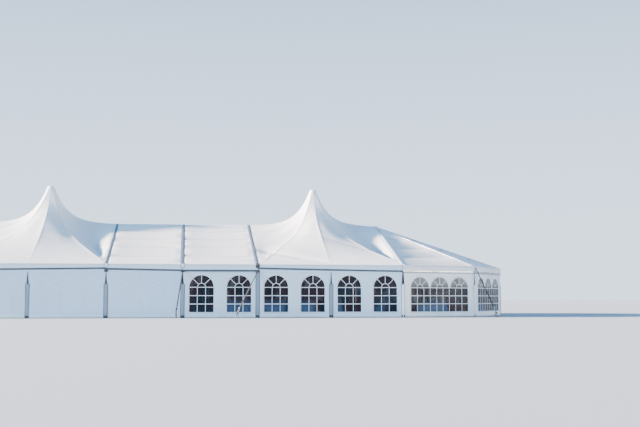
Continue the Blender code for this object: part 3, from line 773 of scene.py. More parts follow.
# Valances: PVC flaps hung from a bead rail round the edge of the roof, with a welded band along the top
# and a hem below, and a painted shadow line in the recess under the bead. They hang almost straight, with
# slack waves at their hems, and are drawn up beside the ridge bays. The front, back and left cloth is
# tinted blue as painted sky shade; the right end's is paler, near the roof's white.
VALANCE_DROP = 0.24
VALANCE_OUT = 0.008
VALANCE_LAP = 0.012
VALANCE_ROWS = (0.008, 0.018, 0.030, 0.042, 0.052, 0.065, 0.09, 0.12, 0.15, 0.18, 0.205, 0.222, 0.24)
VALANCE_STANDS = {0.008: -0.002, 0.018: -0.004, 0.030: -0.0095, 0.042: -0.0095, 0.052: -0.001, 0.222: 0.0015,
                  0.24: 0.001}
VALANCE_SEAM = 0.036
VALANCE_STEP = 0.06
VALANCE_THICK = 0.0015
VALANCE_TILT = 0.006
HEM_WAVE_OUT = 0.009
HEM_WAVE_DOWN = 0.004
HEM_UP = 0.025
UP_IN_RIDGE_BAY = 0.05
UP_ON_RIGHT = 0.10
UP_ON_LEFT = 0.08
BEAD_RADIUS = 0.018
BEAD_STEP = 0.15


def wave(way, seed, fine=1.0):
    """A slack hem's wander, from minus one to one."""
    broad = noise.noise(Vector((way * 1.1, seed, 0.0)))
    return broad + 0.5 * noise.noise(Vector((way * 3.7 * fine, seed, 5.0)))


def drawn_up(x):
    """How much shorter the valance hangs at a place along the front: most beside the two ridge bays."""
    if abs(x) < BAY:
        return HEM_UP + UP_IN_RIDGE_BAY * max(0.0, -x / BAY)
    far = (abs(x) - BAY) / (END_X - BAY)
    return HEM_UP + (UP_ON_RIGHT if x > 0 else UP_ON_LEFT) * (1 - far) ** 1.2


def hung_strip(stretches, place, seed, lift):
    """Points, faces and seam distances of a row of flaps, each hung between two ways along its side."""
    parts, rise, side = [], [], []
    for number, (start, end) in enumerate(stretches):
        count = max(2, round((end - start) / VALANCE_STEP) + 1)
        ways = np.linspace(start, end, count)
        tilt = VALANCE_TILT * math.sin(number * 2.4 + seed)
        points = []
        for drop in VALANCE_ROWS:
            for way in ways:
                share = drop / VALANCE_DROP
                out = VALANCE_OUT + VALANCE_STANDS.get(drop, 0.0)
                out += HEM_WAVE_OUT * share ** 1.5 * (0.6 + wave(way, seed + number))
                low = drop * (1 + tilt * 2) + HEM_WAVE_DOWN * share * wave(way, seed + 40 + number)
                low -= lift(way) * share ** 1.3
                points.append(place(way, out, EAVE - low))
                rise.append(abs(drop - VALANCE_SEAM))
                side.append(min(way - start, end - way))
        parts.append((points, grid_faces(len(VALANCE_ROWS), count), 0))
    points, faces, _ = joined(parts)
    return points, faces, rise, side


def front_place(way, out, z):
    """A point beside the front eave, its way measured from the middle to the right."""
    return Vector((way, -HALF_WIDTH - out, z))


def back_place(way, out, z):
    """A point beside the back eave, its way measured from the middle to the right."""
    return Vector((way, HALF_WIDTH + out, z))


def end_place(way, out, z, hand=1):
    """A point beside the many-sided end, its way measured round the sides from the front."""
    facet = min(SIDES - 1, max(0, int(way // SIDE)))
    share = way / SIDE - facet
    first, second = corner_point(facet, -out), corner_point(facet + 1, -out)
    x = first[0] + (second[0] - first[0]) * share
    y = first[1] + (second[1] - first[1]) * share
    return Vector((hand * x, y, z))


def left_end_place(way, out, z):
    """The same beside the left end."""
    return end_place(way, out, z, -1)


def valance(node, cloth, stretches, place, seed, lift):
    """The valance of one side, its cut less what is drawn up."""
    flap = cloth_piece(node + "_cloth", *hung_strip(stretches, place, seed, lift), cloth, VALANCE_THICK, 1.0)
    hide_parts(node)
    shorter = sum(lift(way) for way in np.linspace(stretches[0][0], stretches[-1][1], 181)) / 181


UP = Vector((0.0, 0.0, 1.0))


def tube(path, radius, count=8):
    """Points and faces of a round bar or cord along a path."""
    rims = []
    u = UP.copy()
    for i, spot in enumerate(path):
        run = (path[min(i + 1, len(path) - 1)] - path[max(i - 1, 0)]).normalized()
        u = u - run * u.dot(run)
        u = u.normalized() if u.length > 0.1 else run.orthogonal().normalized()
        rims.append(lambda a, b, spot=spot, u=u.copy(), v=run.cross(u): spot + u * a + v * b)
    turns = [math.tau * k / count for k in range(count)]
    return swept([(radius * math.cos(t), radius * math.sin(t)) for t in turns], rims)


def seamless(mesh):
    """Marks a mesh as far from any seam."""
    far = [1.0] * len(mesh.vertices)
    store(mesh, rise=far, side=far)
    return mesh


def eave_bead(name, place, start, end):
    """The piped edge of the roof, where cover and valance are welded over one cord."""
    ways = np.linspace(start, end, round((end - start) / BEAD_STEP) + 1)
    path = [place(way, 0.003 + 0.001 * wave(way, 77.0), EAVE - 0.004) for way in ways]
    mesh = seamless(turned_out(mesh_of(name, *tube(path, BEAD_RADIUS, 12))))
    add_piece(name, mesh, [ROOF_CLOTH])


def all_round(way):
    """How much shorter an end's valance hangs, the same at every place."""
    return HEM_UP


# Tinted blue-grey as painted sky shade.
SHADED_VALANCE_CLOTH = coated_cloth("valance_cloth", (0.68, 0.74, 0.82), (0.57, 0.62, 0.70), stitch_and_shadow_share=0.6)
BAYS = [(-END_X, -BAY), (-BAY, 0.0), (0.0, BAY), (BAY, END_X)]
FRONT_STRETCHES = [(a + VALANCE_LAP, b - VALANCE_LAP) for a, b in BAYS]
ROUND = SIDE * SIDES
END_STRETCHES = [(0.0, ROUND)]
END_VALANCE_CLOTH = coated_cloth("end_valance_cloth", (0.82, 0.84, 0.86), (0.70, 0.73, 0.77), stitch_and_shadow_share=0.6)
for side_name, side_place, seed in (("front", front_place, 2.2), ("back", back_place, 9.4)):
    valance("valance_" + side_name, SHADED_VALANCE_CLOTH, FRONT_STRETCHES, side_place, seed,
            drawn_up)
for hand_name, side_place, seed, cloth in (("right", end_place, 15.3, END_VALANCE_CLOTH),
                                           ("left", left_end_place, 18.8, SHADED_VALANCE_CLOTH)):
    valance(f"valance_{hand_name}_end", cloth, END_STRETCHES, side_place, seed,
            all_round)
eave_bead("front_eave_bead", front_place, -END_X, END_X)
eave_bead("back_eave_bead", back_place, -END_X, END_X)
eave_bead("right_end_eave_bead", end_place, 0.0, ROUND)
eave_bead("left_end_eave_bead", left_end_place, 0.0, ROUND)


# Curtain walls: plain PVC curtains on a rail under the eave beam, one to a bay and two overlapping ones
# in the left ridge bay, with a deep hem on the ground. They hang in slack upright folds, with pulls
# from their top corners. Their cloth is tinted blue-grey as painted sky shade.
BEAM_BOTTOM = EAVE - 0.29
WALL_TOP = BEAM_BOTTOM - 0.0003
WALL_BOTTOM = 0.0123
WALL_IN = 0.020
WALL_MARGIN = 0.03
SLIT = 0.011
LEAF_LAP = 0.10
LEAF_PAST = 0.02
LEAF_OUT = 0.006
GAPE = 0.040
GAPE_TOP = 1.83
GAPE_LOW = 1.30
GAPE_WIDE = 0.35
CURTAIN_STEP = 0.035
CURTAIN_DROPS = 44
CURTAIN_THICK = 0.0014
HEM_HIGH = 0.15
FOLD_DEEP = 0.026
SMALL_FOLD_DEEP = 0.013
BROAD_FOLD_DEEP = 0.014
START_PULL = (1.1, 17, 0.009)
END_PULL = (1.5, 19, 0.015)
PLEAT_DEEP = 0.006
PLEAT_WIDE = 0.15
GATHER_DEEP = 0.009
GATHER_PLACE = 1.3
CURTAIN_STANDS = 0.010
HEADING_SECTION = ((0.030, -0.017), (0.012, -0.010), (0.002, -0.0035), (-0.006, -0.001), (-0.03, 0.0),
                   (None, 0.0))
HEADING_STEP = 0.1
NEXT_SEED = 3


def pull(s, z, corner_s, corner_z, reach, turns, depth):
    """Creases that fan out from a corner that carries the weight of the cloth."""
    far = math.hypot(s - corner_s, z - corner_z)
    angle = math.atan2(corner_z - z, s - corner_s)
    angle += 0.10 * noise.noise(Vector((angle * 3.0, far * 0.8, turns)))
    uneven = 0.6 + noise.noise(Vector((angle * 2.3, turns, far * 0.5)))
    fade = math.exp(-((far - reach * 0.35) / reach) ** 2 * 3)
    return depth * uneven * math.sin(angle * turns) * far / reach * fade


def drape(s, z, width, seed, slack=1.0):
    """How far a curtain of some width stands out of its plane at a place on it."""
    low = 1 - z / WALL_TOP
    edge = min(1.0, min(s, width - s) / 0.12 + 0.15)
    fold = noise.noise(Vector((s * 1.5, z * 0.22, seed))) * FOLD_DEEP
    fold += noise.noise(Vector((s * 3.6, z * 0.35, seed + 4.0))) * SMALL_FOLD_DEEP
    broad = noise.noise(Vector((s * 0.7, z * 0.8, seed + 9.0))) * BROAD_FOLD_DEEP
    fans = pull(s, z, 0.0, WALL_TOP, *START_PULL) + pull(s, z, width, WALL_TOP, *END_PULL)
    fans += PLEAT_DEEP * math.sin(math.tau * s / PLEAT_WIDE) * math.exp(-((width - s) / 0.35) ** 2)
    gathers = math.sin(math.tau * (z / 0.21 + s / 0.5)) * math.exp(-((s - 0.4 * width) / 0.24) ** 2)
    fans += GATHER_DEEP * gathers * math.exp(-((z - GATHER_PLACE) / 0.42) ** 2)
    folds = (0.35 + 0.65 * low) * (fold + broad) + fans * (1 - 0.6 * low)
    return slack * edge * folds + CURTAIN_STANDS * edge


def drawn_in(s, z, width):
    """Where a point across a curtain comes to lie, its edges drawn in above the joint flap."""
    pulled = max(0.0, min(1.0, (GAPE_TOP - z) / (GAPE_TOP - GAPE_LOW)))
    pulled = GAPE * pulled * min(1.0, z / GAPE_LOW)
    return s + pulled * (max(0.0, 1 - s / GAPE_WIDE) - max(0.0, 1 - (width - s) / GAPE_WIDE))


def eased(z):
    """The share of its folds that a curtain has at a height, little where its heading holds it."""
    return min(1.0, (WALL_TOP - z) / 0.25 + 0.1)


def curtain(start, end, seed, out=0.0):
    """Points, faces and seam distances of one plain curtain between two ways."""
    width = end - start
    count = max(3, round(width / CURTAIN_STEP) + 1)
    ways = np.linspace(0.0, width, count)
    heights = np.linspace(WALL_TOP, WALL_BOTTOM, CURTAIN_DROPS)
    points, rise, side = [], [], []
    for z in heights:
        for s in ways:
            stand = drape(s, z, width, seed) * eased(z)
            points.append((start + drawn_in(s, z, width), out - WALL_IN + stand, z))
            rise.append(abs(z - HEM_HIGH))
            side.append(min(s, width - s))
    return points, grid_faces(len(heights), count), rise, side


def heading(start, end):
    """The top band of the curtains, drawn up over the beam's face where the valance hangs shorter."""
    ways = np.linspace(start, end, round((end - start) / HEADING_STEP) + 1)
    points = []
    for low, out in HEADING_SECTION:
        for way in ways:
            up = drawn_up(way) - HEM_UP
            z = BEAM_BOTTOM + (up if low is None else min(-low, up))
            points.append((way, out, z))
    far = [1.0] * len(points)
    return points, grid_faces(len(HEADING_SECTION), len(ways)), far, far


def wall_piece(name, node, cloth, curtains, place):
    """The curtains of one side as one piece, with the pieces that are welded to them."""
    parts, rise, side = [], [], []
    for points, faces, their_rise, their_side in curtains:
        parts.append(([place(*spot) for spot in points], faces, 0))
        rise += their_rise
        side += their_side
    points, faces, _ = joined(parts)
    wall = cloth_piece(name, points, faces, rise, side, cloth, CURTAIN_THICK, 0.0)
    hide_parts(node)


def row_of(bays, seed):
    """The plain curtains of a row of bays."""
    return [curtain(start, end, seed + NEXT_SEED * i) for i, (start, end) in enumerate(bays)]


# Blue-grey as painted sky shade on white cloth.
SHADED_WALL_CLOTH = coated_cloth("shaded_wall_cloth", (0.54, 0.66, 0.79), (0.45, 0.56, 0.67), hem=HEM_HIGH, wall=True,
                          stitch_and_shadow_share=0.4)
CURTAIN_BAYS = [(WALL_MARGIN - END_X, -2 * BAY - SLIT), (-2 * BAY + SLIT, -BAY - SLIT),
                (-BAY + SLIT, -BAY / 2 + LEAF_PAST)]
for side_name, side_place, seed in (("front", front_place, 1.7), ("back", back_place, 71.7)):
    row = row_of(CURTAIN_BAYS, seed)
    row.append(curtain(-BAY / 2 - LEAF_LAP, -SLIT, seed + 20, LEAF_OUT))
    row += [heading(WALL_MARGIN - END_X, -BAY - VALANCE_LAP), heading(-BAY + VALANCE_LAP, -VALANCE_LAP)]
    wall_piece(side_name + "_curtains", side_name + "_curtain_wall", SHADED_WALL_CLOTH, row, side_place)
END_GAPS = [WALL_MARGIN] + [SLIT] * (SIDES - 1) + [WALL_MARGIN]
END_BAYS = [(SIDE * k + END_GAPS[k], SIDE * (k + 1) - END_GAPS[k + 1]) for k in range(SIDES)]
wall_piece("left_end_curtains", "left_end_curtain_wall", SHADED_WALL_CLOTH, row_of(END_BAYS, 31.0), left_end_place)


# Window walls: curtains of PVC with arched windows cut out and a clear pane welded behind each. The
# front and back cloth is tinted blue-grey as painted sky shade, a little paler than the plain curtains, and
# the end's is palest, near the roof's white. White glazing bars are welded over the panes: three panes wide
# with a fan head on the front and back, and three heads over one sill on each side of the end.
WINDOW = 0.98
ABOVE_WINDOW = 0.145
SPRING = WALL_TOP - ABOVE_WINDOW - WINDOW / 2
SILL = 0.225
TRIPLE_HEAD = 0.88
TRIPLE_PITCH = 0.98
ARCH_STEPS = 28
WINDOW_SLACK = 0.8
EDGE_STEP = 0.05
CUT_STEP = 0.045
DOWN_STEP = 0.075
OFF_CUT = 0.02
LIP_WIDE = 0.03
LIP_OUT = 0.0012
BAR = 0.025
UPRIGHT_BAR = BAR * 0.85
FAN_BAR = BAR * 0.8
FRAME_BAR = BAR * 0.7
FRAME_OUT = 0.004
BAR_THICK = 0.0014
BAR_OUT = 0.0035
PANE_LAP = 0.03
PANE_IN = 0.0052
PANE_ROWS = 28
RIPPLE = 0.004


def arch(centre, width):
    """The round head of an opening, from right to left."""
    turns = [math.pi * i / ARCH_STEPS for i in range(ARCH_STEPS + 1)]
    return [(centre + width / 2 * math.cos(a), SPRING + width / 2 * math.sin(a)) for a in turns]


def window_outline(centres, width):
    """One opening with a straight sill and a round head over each centre."""
    outline = [(centres[0] - width / 2, SILL), (centres[-1] + width / 2, SILL)]
    for centre in reversed(centres):
        outline += arch(centre, width)
    return outline


def spaced(outline, step):
    """An outline with extra points along its long sides."""
    made = []
    for (ax, az), (bx, bz) in zip(outline, outline[1:] + outline[:1]):
        count = max(1, round(math.hypot(bx - ax, bz - az) / step))
        made += [(ax + (bx - ax) * k / count, az + (bz - az) * k / count) for k in range(count)]
    return made


def within(outline, x, z):
    """Whether a point lies inside an outline."""
    inside = False
    for (ax, az), (bx, bz) in zip(outline, outline[1:] + outline[:1]):
        if (az > z) != (bz > z) and x < ax + (bx - ax) * (z - az) / (bz - az):
            inside = not inside
    return inside


def nearness(outline, x, z):
    """Distance from a point to the nearest side of an outline."""
    best = 9.0
    for (ax, az), (bx, bz) in zip(outline, outline[1:] + outline[:1]):
        run = (bx - ax) ** 2 + (bz - az) ** 2
        t = max(0.0, min(1.0, ((x - ax) * (bx - ax) + (z - az) * (bz - az)) / run))
        best = min(best, math.hypot(x - ax - t * (bx - ax), z - az - t * (bz - az)))
    return best


def cut_curtain(start, end, holes, seed):
    """Points, faces and seam distances of a curtain with openings cut in it."""
    width = end - start
    sheet = [(0.0, WALL_BOTTOM), (width, WALL_BOTTOM), (width, WALL_TOP), (0.0, WALL_TOP)]
    rims = [spaced([(x - start, z) for x, z in hole], CUT_STEP) for hole in holes]
    spots, sides = [], []
    for ring in [spaced(sheet, EDGE_STEP)] + rims:
        first = len(spots)
        spots += ring
        sides += [(first + i, first + (i + 1) % len(ring)) for i in range(len(ring))]
    for s in np.arange(0.03, width - 0.02, CUT_STEP):
        for z in np.arange(WALL_BOTTOM + 0.05, WALL_TOP - 0.03, DOWN_STEP):
            if all(not within(rim, s, z) and nearness(rim, s, z) > OFF_CUT for rim in rims):
                spots.append((s, z))
    flat, _, faces, *_ = delaunay_2d_cdt([Vector(p) for p in spots], sides, [], 0, 1e-5)
    kept = []
    for face in faces:
        x = sum(flat[i][0] for i in face) / len(face)
        z = sum(flat[i][1] for i in face) / len(face)
        if not any(within(rim, x, z) for rim in rims):
            kept.append(tuple(face))
    points, rise, side = [], [], []
    for s, z in flat:
        near = min([nearness(rim, s, z) for rim in rims] + [1.0])
        stand = drape(s, z, width, seed, WINDOW_SLACK) * eased(z)
        stand = stand * (0.35 + 0.65 * min(1.0, near / 0.25)) + LIP_OUT * (near < LIP_WIDE)
        shift = drawn_in(s, z, width) - s
        points.append((start + s + shift * min(1.0, near / 0.12), stand - WALL_IN, z))
        rise.append(abs(z - HEM_HIGH))
        side.append(min(near, min(s, width - s)))
    return points, kept, rise, side


def strip_between(a, b, width):
    """The corners of a flat bar from one point to another."""
    run = Vector((b[0] - a[0], b[1] - a[1])).normalized() * width / 2
    across = (-run[1], run[0])
    return [(a[0] + across[0], a[1] + across[1]), (a[0] - across[0], a[1] - across[1]),
            (b[0] - across[0], b[1] - across[1]), (b[0] + across[0], b[1] + across[1])]


def arc_band(centre, z, radius, width, count):
    """Quads of a curved bar, half a turn round a centre."""
    quads = []
    for i in range(count):
        a, b = (math.pi * k / count for k in (i, i + 1))
        inner, outer = radius - width / 2, radius + width / 2
        quads.append([(centre + r * math.cos(t), z + r * math.sin(t))
                      for r, t in ((inner, a), (outer, a), (outer, b), (inner, b))])
    return quads


def glazing_quads(centres, width, panes):
    """The bars of one window: uprights, rails, a fan in each head and a frame round the opening."""
    low, high = centres[0] - width / 2, centres[-1] + width / 2
    quads = []
    for k in range(1, panes):
        x = low + (high - low) * k / panes
        quads.append(strip_between((x, SILL), (x, SPRING), UPRIGHT_BAR))
    for share in (1 / 3, 2 / 3, 1.0):
        z = SILL + (SPRING - SILL) * share
        quads.append(strip_between((low, z), (high, z), BAR))
    half = width / 2
    for centre in centres:
        hub = half / 3
        quads += arc_band(centre, SPRING, hub, FAN_BAR, 12)
        for turn in (45, 90, 135):
            run = (math.cos(math.radians(turn)), math.sin(math.radians(turn)))
            quads.append(strip_between((centre + hub * run[0], SPRING + hub * run[1]),
                                       (centre + half * run[0], SPRING + half * run[1]), FAN_BAR))
        quads += arc_band(centre, SPRING, half + FRAME_OUT, FRAME_BAR, ARCH_STEPS)
    quads.append(strip_between((low - 3 * FRAME_OUT, SILL), (high + 3 * FRAME_OUT, SILL), FRAME_BAR))
    for x in (low - FRAME_OUT, high + FRAME_OUT):
        quads.append(strip_between((x, SILL), (x, SPRING), FRAME_BAR))
    return quads


def glazing(name, windows, place, panes):
    """All the bars of a wall as one piece, just outside the panes."""
    points, faces = [], []
    for centres, width in windows:
        for quad in glazing_quads(centres, width, panes):
            first = len(points)
            points += [place(x, -WALL_IN + BAR_OUT, z) for x, z in quad]
            faces.append((first, first + 1, first + 2, first + 3))
    mesh = seamless(mesh_of(name, points, faces, False))
    return thickened(add_piece(name, mesh, [BAR_CLOTH]), BAR_THICK, 0.0)


def pane_sheet(name, node, windows, place, finish):
    """The clear panes of a wall as one piece of slightly rippled sheet."""
    parts = []
    for centres, width in windows:
        low, high = centres[0] - width / 2 - PANE_LAP, centres[-1] + width / 2 + PANE_LAP
        ways = np.linspace(low, high, max(2, round((high - low) / 0.06) + 1))
        heights = np.linspace(SILL - PANE_LAP, SPRING + width / 2 + PANE_LAP, PANE_ROWS)
        points = []
        for z in heights:
            for way in ways:
                ripple = RIPPLE * noise.noise(Vector((way * 2.2, z * 1.6, 3.3)))
                points.append(place(way, -WALL_IN - PANE_IN + ripple, z))
        parts.append((points, grid_faces(len(heights), len(ways)), 0))
    points, faces, _ = joined(parts)
    panes = add_piece(name, mesh_of(name, points, faces), [finish])
    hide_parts(node)


# Painted tones for the panes: the dark inside in wine and teal, pale glints; the dust tone is real.
PAINTED_INSIDE_WINE = (0.022, 0.010, 0.014)
PAINTED_INSIDE_TEAL = (0.006, 0.012, 0.018)
GLINT_SHADE = (0.11, 0.115, 0.13)
DUST_SHADE = (0.20, 0.22, 0.25)


def clear_sheet_finish(name, head, foot, alpha, glow, gloss):
    """Clear PVC painted dark for the shaded inside, with wine and teal patches painted for what shows
    through, pale glints painted as reflections and a blue sky reflection painted near the sill.
    """
    finish = Finish(name)
    spot = finish.place()
    height = finish.along(spot, 2)
    dust = finish.step(finish.clouds(spot, 1.8, 5.0, 0.6), 0.40, 0.75)
    inside_patches = finish.step(finish.clouds(finish.stretched(spot, (1.3, 1.3, 0.7)), 1.0, 2.0), 0.42, 0.58)
    glints = finish.step(finish.clouds(finish.stretched(spot, (3.4, 3.4, 1.6)), 1.0, 3.0, 0.6), 0.54, 0.70)
    # A band near the sill that carries a painted blue sky reflection and a little more opacity.
    near_sill = 1 - finish.step(height, SILL + 0.15, SILL + 0.62)
    blue = near_sill * finish.step(finish.clouds(finish.stretched(spot, (0.9, 0.9, 0.3)), 1.0, 1.0), 0.44, 0.56)
    ripples = finish.bump(finish.clouds(finish.stretched(spot, (3.0, 3.0, 2.2)), 1.4, 2.0), 0.010, 0.25)
    tone = finish.blend(inside_patches, PAINTED_INSIDE_WINE, PAINTED_INSIDE_TEAL)
    tone = finish.blend(finish.step(height, SPRING - 0.1, SPRING + 0.2), tone, head)
    tone = finish.blend(glints * (0.30 + glow), tone, GLINT_SHADE)
    tone = finish.blend(blue * 0.75, tone, foot)
    tone = finish.blend(dust * 0.06, tone, DUST_SHADE)
    return finish.surface(Base_Color=tone, Roughness=0.12 + dust * 0.12, Alpha=alpha + near_sill * 0.06,
                          Normal=ripples, IOR=1.2, Specular_IOR_Level=gloss)


# Blue-grey as painted sky shade, a little paler than the plain curtains.
SHADED_WINDOW_CLOTH = coated_cloth("shaded_window_wall_cloth", (0.62, 0.72, 0.82), (0.52, 0.61, 0.70), hem=HEM_HIGH,
                            wall=True, stitch_and_shadow_share=0.4)
END_CLOTH = coated_cloth("end_wall_cloth", (0.87, 0.89, 0.90), (0.70, 0.74, 0.78), hem=HEM_HIGH, wall=True,
                         stitch_and_shadow_share=0.4)
BAR_CLOTH = coated_cloth("bar_cloth", (0.86, 0.87, 0.89), (0.72, 0.74, 0.78), wall=True)
# Nearly opaque dark panes stand in for the shaded inside; the end's are paler at the head with more glints,
# as painted light.
CLEAR_SHEET = clear_sheet_finish("clear_sheet", (0.030, 0.020, 0.020), (0.045, 0.085, 0.15), 0.93, 0.0, 0.40)
END_SHEET = clear_sheet_finish("end_clear_sheet", (0.26, 0.26, 0.23), (0.06, 0.13, 0.22), 0.86, 0.35, 0.24)
FRONT_WINDOWS = [([BAY * (i + 0.5) / 2], WINDOW) for i in range(6)]
END_WINDOWS = []
for k in range(SIDES):
    middle = SIDE * (k + 0.5)
    END_WINDOWS.append(([middle - TRIPLE_PITCH, middle, middle + TRIPLE_PITCH], TRIPLE_HEAD))
WINDOW_BAYS = [(SLIT, BAY - SLIT), (BAY + SLIT, 2 * BAY - SLIT), (2 * BAY + SLIT, END_X - WALL_MARGIN)]


def window_row(bays, windows, seed):
    """The curtains of a row of bays, each with the windows that lie in it."""
    row = []
    for i, (start, end) in enumerate(bays):
        holes = [window_outline(c, w) for c, w in windows if start < c[0] < end]
        row.append(cut_curtain(start, end, holes, seed + NEXT_SEED * i))
    return row


for side_name, side_place, seed in (("front", front_place, 41.0), ("back", back_place, 83.0)):
    bars = glazing(side_name + "_glazing_bars", FRONT_WINDOWS, side_place, 3)
    row = window_row(WINDOW_BAYS, FRONT_WINDOWS, seed) + [heading(BAY + VALANCE_LAP, END_X - WALL_MARGIN)]
    wall_piece(side_name + "_window_curtains", side_name + "_window_wall", SHADED_WINDOW_CLOTH, row, side_place)
    pane_sheet(side_name + "_panes", side_name + "_window_sheet", FRONT_WINDOWS, side_place, CLEAR_SHEET)
bars = glazing("right_end_glazing_bars", END_WINDOWS, end_place, 9)
row = window_row(END_BAYS, END_WINDOWS, 97.0)
wall_piece("right_end_window_curtains", "right_end_window_wall", END_CLOTH, row, end_place)
pane_sheet("right_end_panes", "right_end_window_sheet", END_WINDOWS, end_place, END_SHEET)


# Joint flaps: narrow PVC strips over the slit between two curtains, from chest height to the ground, and
# two of them from the eave. Those at the portals are of a dark blue-grey cloth bound with dark tape and
# those round the ends are bound with grey cloth; these dark edges are partly painted shadow beside the
# flap's edges. A painted steel shoe holds each one down.
FLAP_TOP = 1.36
FULL_FLAP_TOP = 1.85
FLAP_FOOT = 0.004
FLAP_ROWS = 26
FLAP_STANDS = 0.010
FLAP_BELLY = 0.012
FLAP_THICK = 0.0015
FLAP_SECTION = (-0.085, -0.075, -0.062, -0.050, -0.025, 0.0, 0.025, 0.050, 0.062, 0.075, 0.085)
FLAP_FACES = len(FLAP_SECTION) - 1
BOUND_AND_SHADE_FACES = (0, 1, FLAP_FACES - 2, FLAP_FACES - 1)
SHOE_HALF = 0.072
SHOE_HIGH = 0.11
SHOE_BACK = 0.0045
SHOE_FACE = 0.0085
BOLT_APART = 0.045
BOLT_RADIUS = 0.011


def plate(outline, low, high, place):
    """Points and faces of a flat plate: its outline in two directions, thickened along the third."""
    count = len(outline)
    points = [place(a, b, c) for b in (low, high) for a, c in outline]
    faces = [(i, (i + 1) % count, count + (i + 1) % count, count + i) for i in range(count)]
    return points, faces + [tuple(range(count))[::-1], tuple(range(count, 2 * count))]


def round_of(centre_a, centre_c, radius, count, teeth=0.0):
    """The outline of a disc or of a toothed wheel."""
    outline = []
    for k in range(count):
        turn, reach = math.tau * k / count, radius * (1 + (teeth if k % 2 else 0.0))
        outline.append((centre_a + reach * math.cos(turn), centre_c + reach * math.sin(turn)))
    return outline


def beside(place, way):
    """The places on a side for a plate, measured across it from one way."""
    return lambda a, b, c: place(way + a, b, c)


def many_parts(name, parts, materials, edge):
    """One piece made of several solid parts, each with the number of its material."""
    points, faces, numbers = joined(parts)
    mesh = turned_out(mesh_of(name, points, faces, False, numbers))
    return softened(add_piece(name, mesh, materials), edge, 2)


def round_place(way, out, z, hand=1):
    """A point on the walls round the end, its way carried on past the first and the last corner."""
    if way < 0:
        return Vector((hand * (END_X + way), -HALF_WIDTH - out, z))
    if way > ROUND:
        return Vector((hand * (END_X + ROUND - way), HALF_WIDTH + out, z))
    return end_place(way, out, z, hand)


def left_round_place(way, out, z):
    """The same round the left end."""
    return round_place(way, out, z, -1)


def joint_flap(name, place, way, seed, top, cloths):
    """One flap, its second cloth along both edges as binding and painted edge shadow, and its shoe with two
    bolts.
    """
    points = []
    for z in np.linspace(top, FLAP_FOOT, FLAP_ROWS):
        for across in FLAP_SECTION:
            belly_out = FLAP_BELLY * (1 - (across / 0.09) ** 2)
            lean = 0.004 * wave(z, seed, 0.6)
            points.append(place(way + across + lean, FLAP_STANDS + belly_out - WALL_IN, z))
    faces = grid_faces(FLAP_ROWS, len(FLAP_SECTION))
    # The edge faces carry the second cloth: binding that is partly painted shadow beside the flap's edges.
    numbers = [int(i % FLAP_FACES in BOUND_AND_SHADE_FACES) for i in range(len(faces))]
    mesh = seamless(mesh_of(name, points, faces, True, numbers))
    flap = thickened(add_piece(name, mesh, cloths), FLAP_THICK, 1.0)
    wide, high, at = SHOE_HALF, SHOE_HIGH, beside(place, way)
    outline = [(-wide, FLAP_FOOT), (wide, FLAP_FOOT), (wide, high * 0.8), (wide * 0.8, high)]
    outline += [(-wide * 0.8, high), (-wide, high * 0.8)]
    shoe = [(*plate(outline, SHOE_BACK, SHOE_FACE, at), 0)]
    for spot in (-BOLT_APART, BOLT_APART):
        shoe.append((*plate(round_of(spot, high * 0.6, BOLT_RADIUS, 6), 0.008, 0.015, at), 0))
    many_parts(name + "_shoe", shoe, [SHOE_STEEL], 0.0012)


TAPE_RIBS = 1900.0
RUST = (0.16, 0.075, 0.035)


def woven_tape(name, colour, worn):
    """Polyester webbing: a close twill with paler worn threads."""
    finish = Finish(name)
    spot = finish.place()
    wear = finish.step(finish.clouds(spot, 7.0, 4.0, 0.6), 0.45, 0.72)
    ribs = finish.sine(finish.along(spot, 2) * TAPE_RIBS)
    relief = finish.bump(ribs, 0.0006, 0.6)
    tone = finish.blend(wear * 0.5 + ribs * 0.12, colour, worn)
    return finish.surface(Base_Color=tone, Roughness=0.72 + wear * 0.15, Normal=relief,
                          Sheen_Weight=0.02, Sheen_Roughness=0.4)


def painted_steel(name, paint, chipped):
    """Brushed-on paint over steel, chipped to bare metal and rusting in specks."""
    finish = Finish(name)
    spot = finish.place()
    brush = finish.clouds(finish.stretched(spot, (30.0, 30.0, 140.0)), 1.0, 2.0)
    worn = finish.step(finish.clouds(spot, 24.0, 5.0, 0.65), 0.56, 0.64)
    specks = finish.step(finish.clouds(spot, 90.0, 3.0, 0.6), 0.60, 0.70)
    tone = finish.blend(brush * 0.4, paint, tuple(c * 1.6 for c in paint))
    tone = finish.blend(worn * 0.8, tone, chipped)
    tone = finish.blend(specks * 0.6, tone, RUST)
    relief = finish.bump(brush * 0.4 + specks + worn * 0.5, 0.0005, 0.7)
    rough = 0.45 + specks * 0.3 + brush * 0.1
    return finish.surface(Base_Color=tone, Metallic=worn * 0.6, Roughness=rough, Normal=relief)


# Dark binding colours, partly painted shadow along the flap edges.
DARK_FLAP_CLOTH_AND_EDGE_SHADE = coated_cloth("dark_flap_cloth_and_edge_shade", (0.24, 0.29, 0.35), (0.18, 0.22, 0.27), wall=True)
TAPE_AND_EDGE_SHADE = woven_tape("tape_and_edge_shade", (0.030, 0.040, 0.055), (0.08, 0.10, 0.12))
SHOE_STEEL = painted_steel("shoe_steel", (0.04, 0.05, 0.055), (0.22, 0.22, 0.22))
PORTAL_CLOTHS = [DARK_FLAP_CLOTH_AND_EDGE_SHADE, TAPE_AND_EDGE_SHADE]
for number, way in enumerate((-2 * BAY, -BAY, 0.0, BAY, 2 * BAY)):
    top = FULL_FLAP_TOP if way == BAY else FLAP_TOP
    seed = 1.3 * number
    joint_flap(f"front_flap_{number + 1}", front_place, way, seed, top, PORTAL_CLOTHS)
    joint_flap(f"back_flap_{number + 1}", back_place, way, seed + 50, top, PORTAL_CLOTHS)
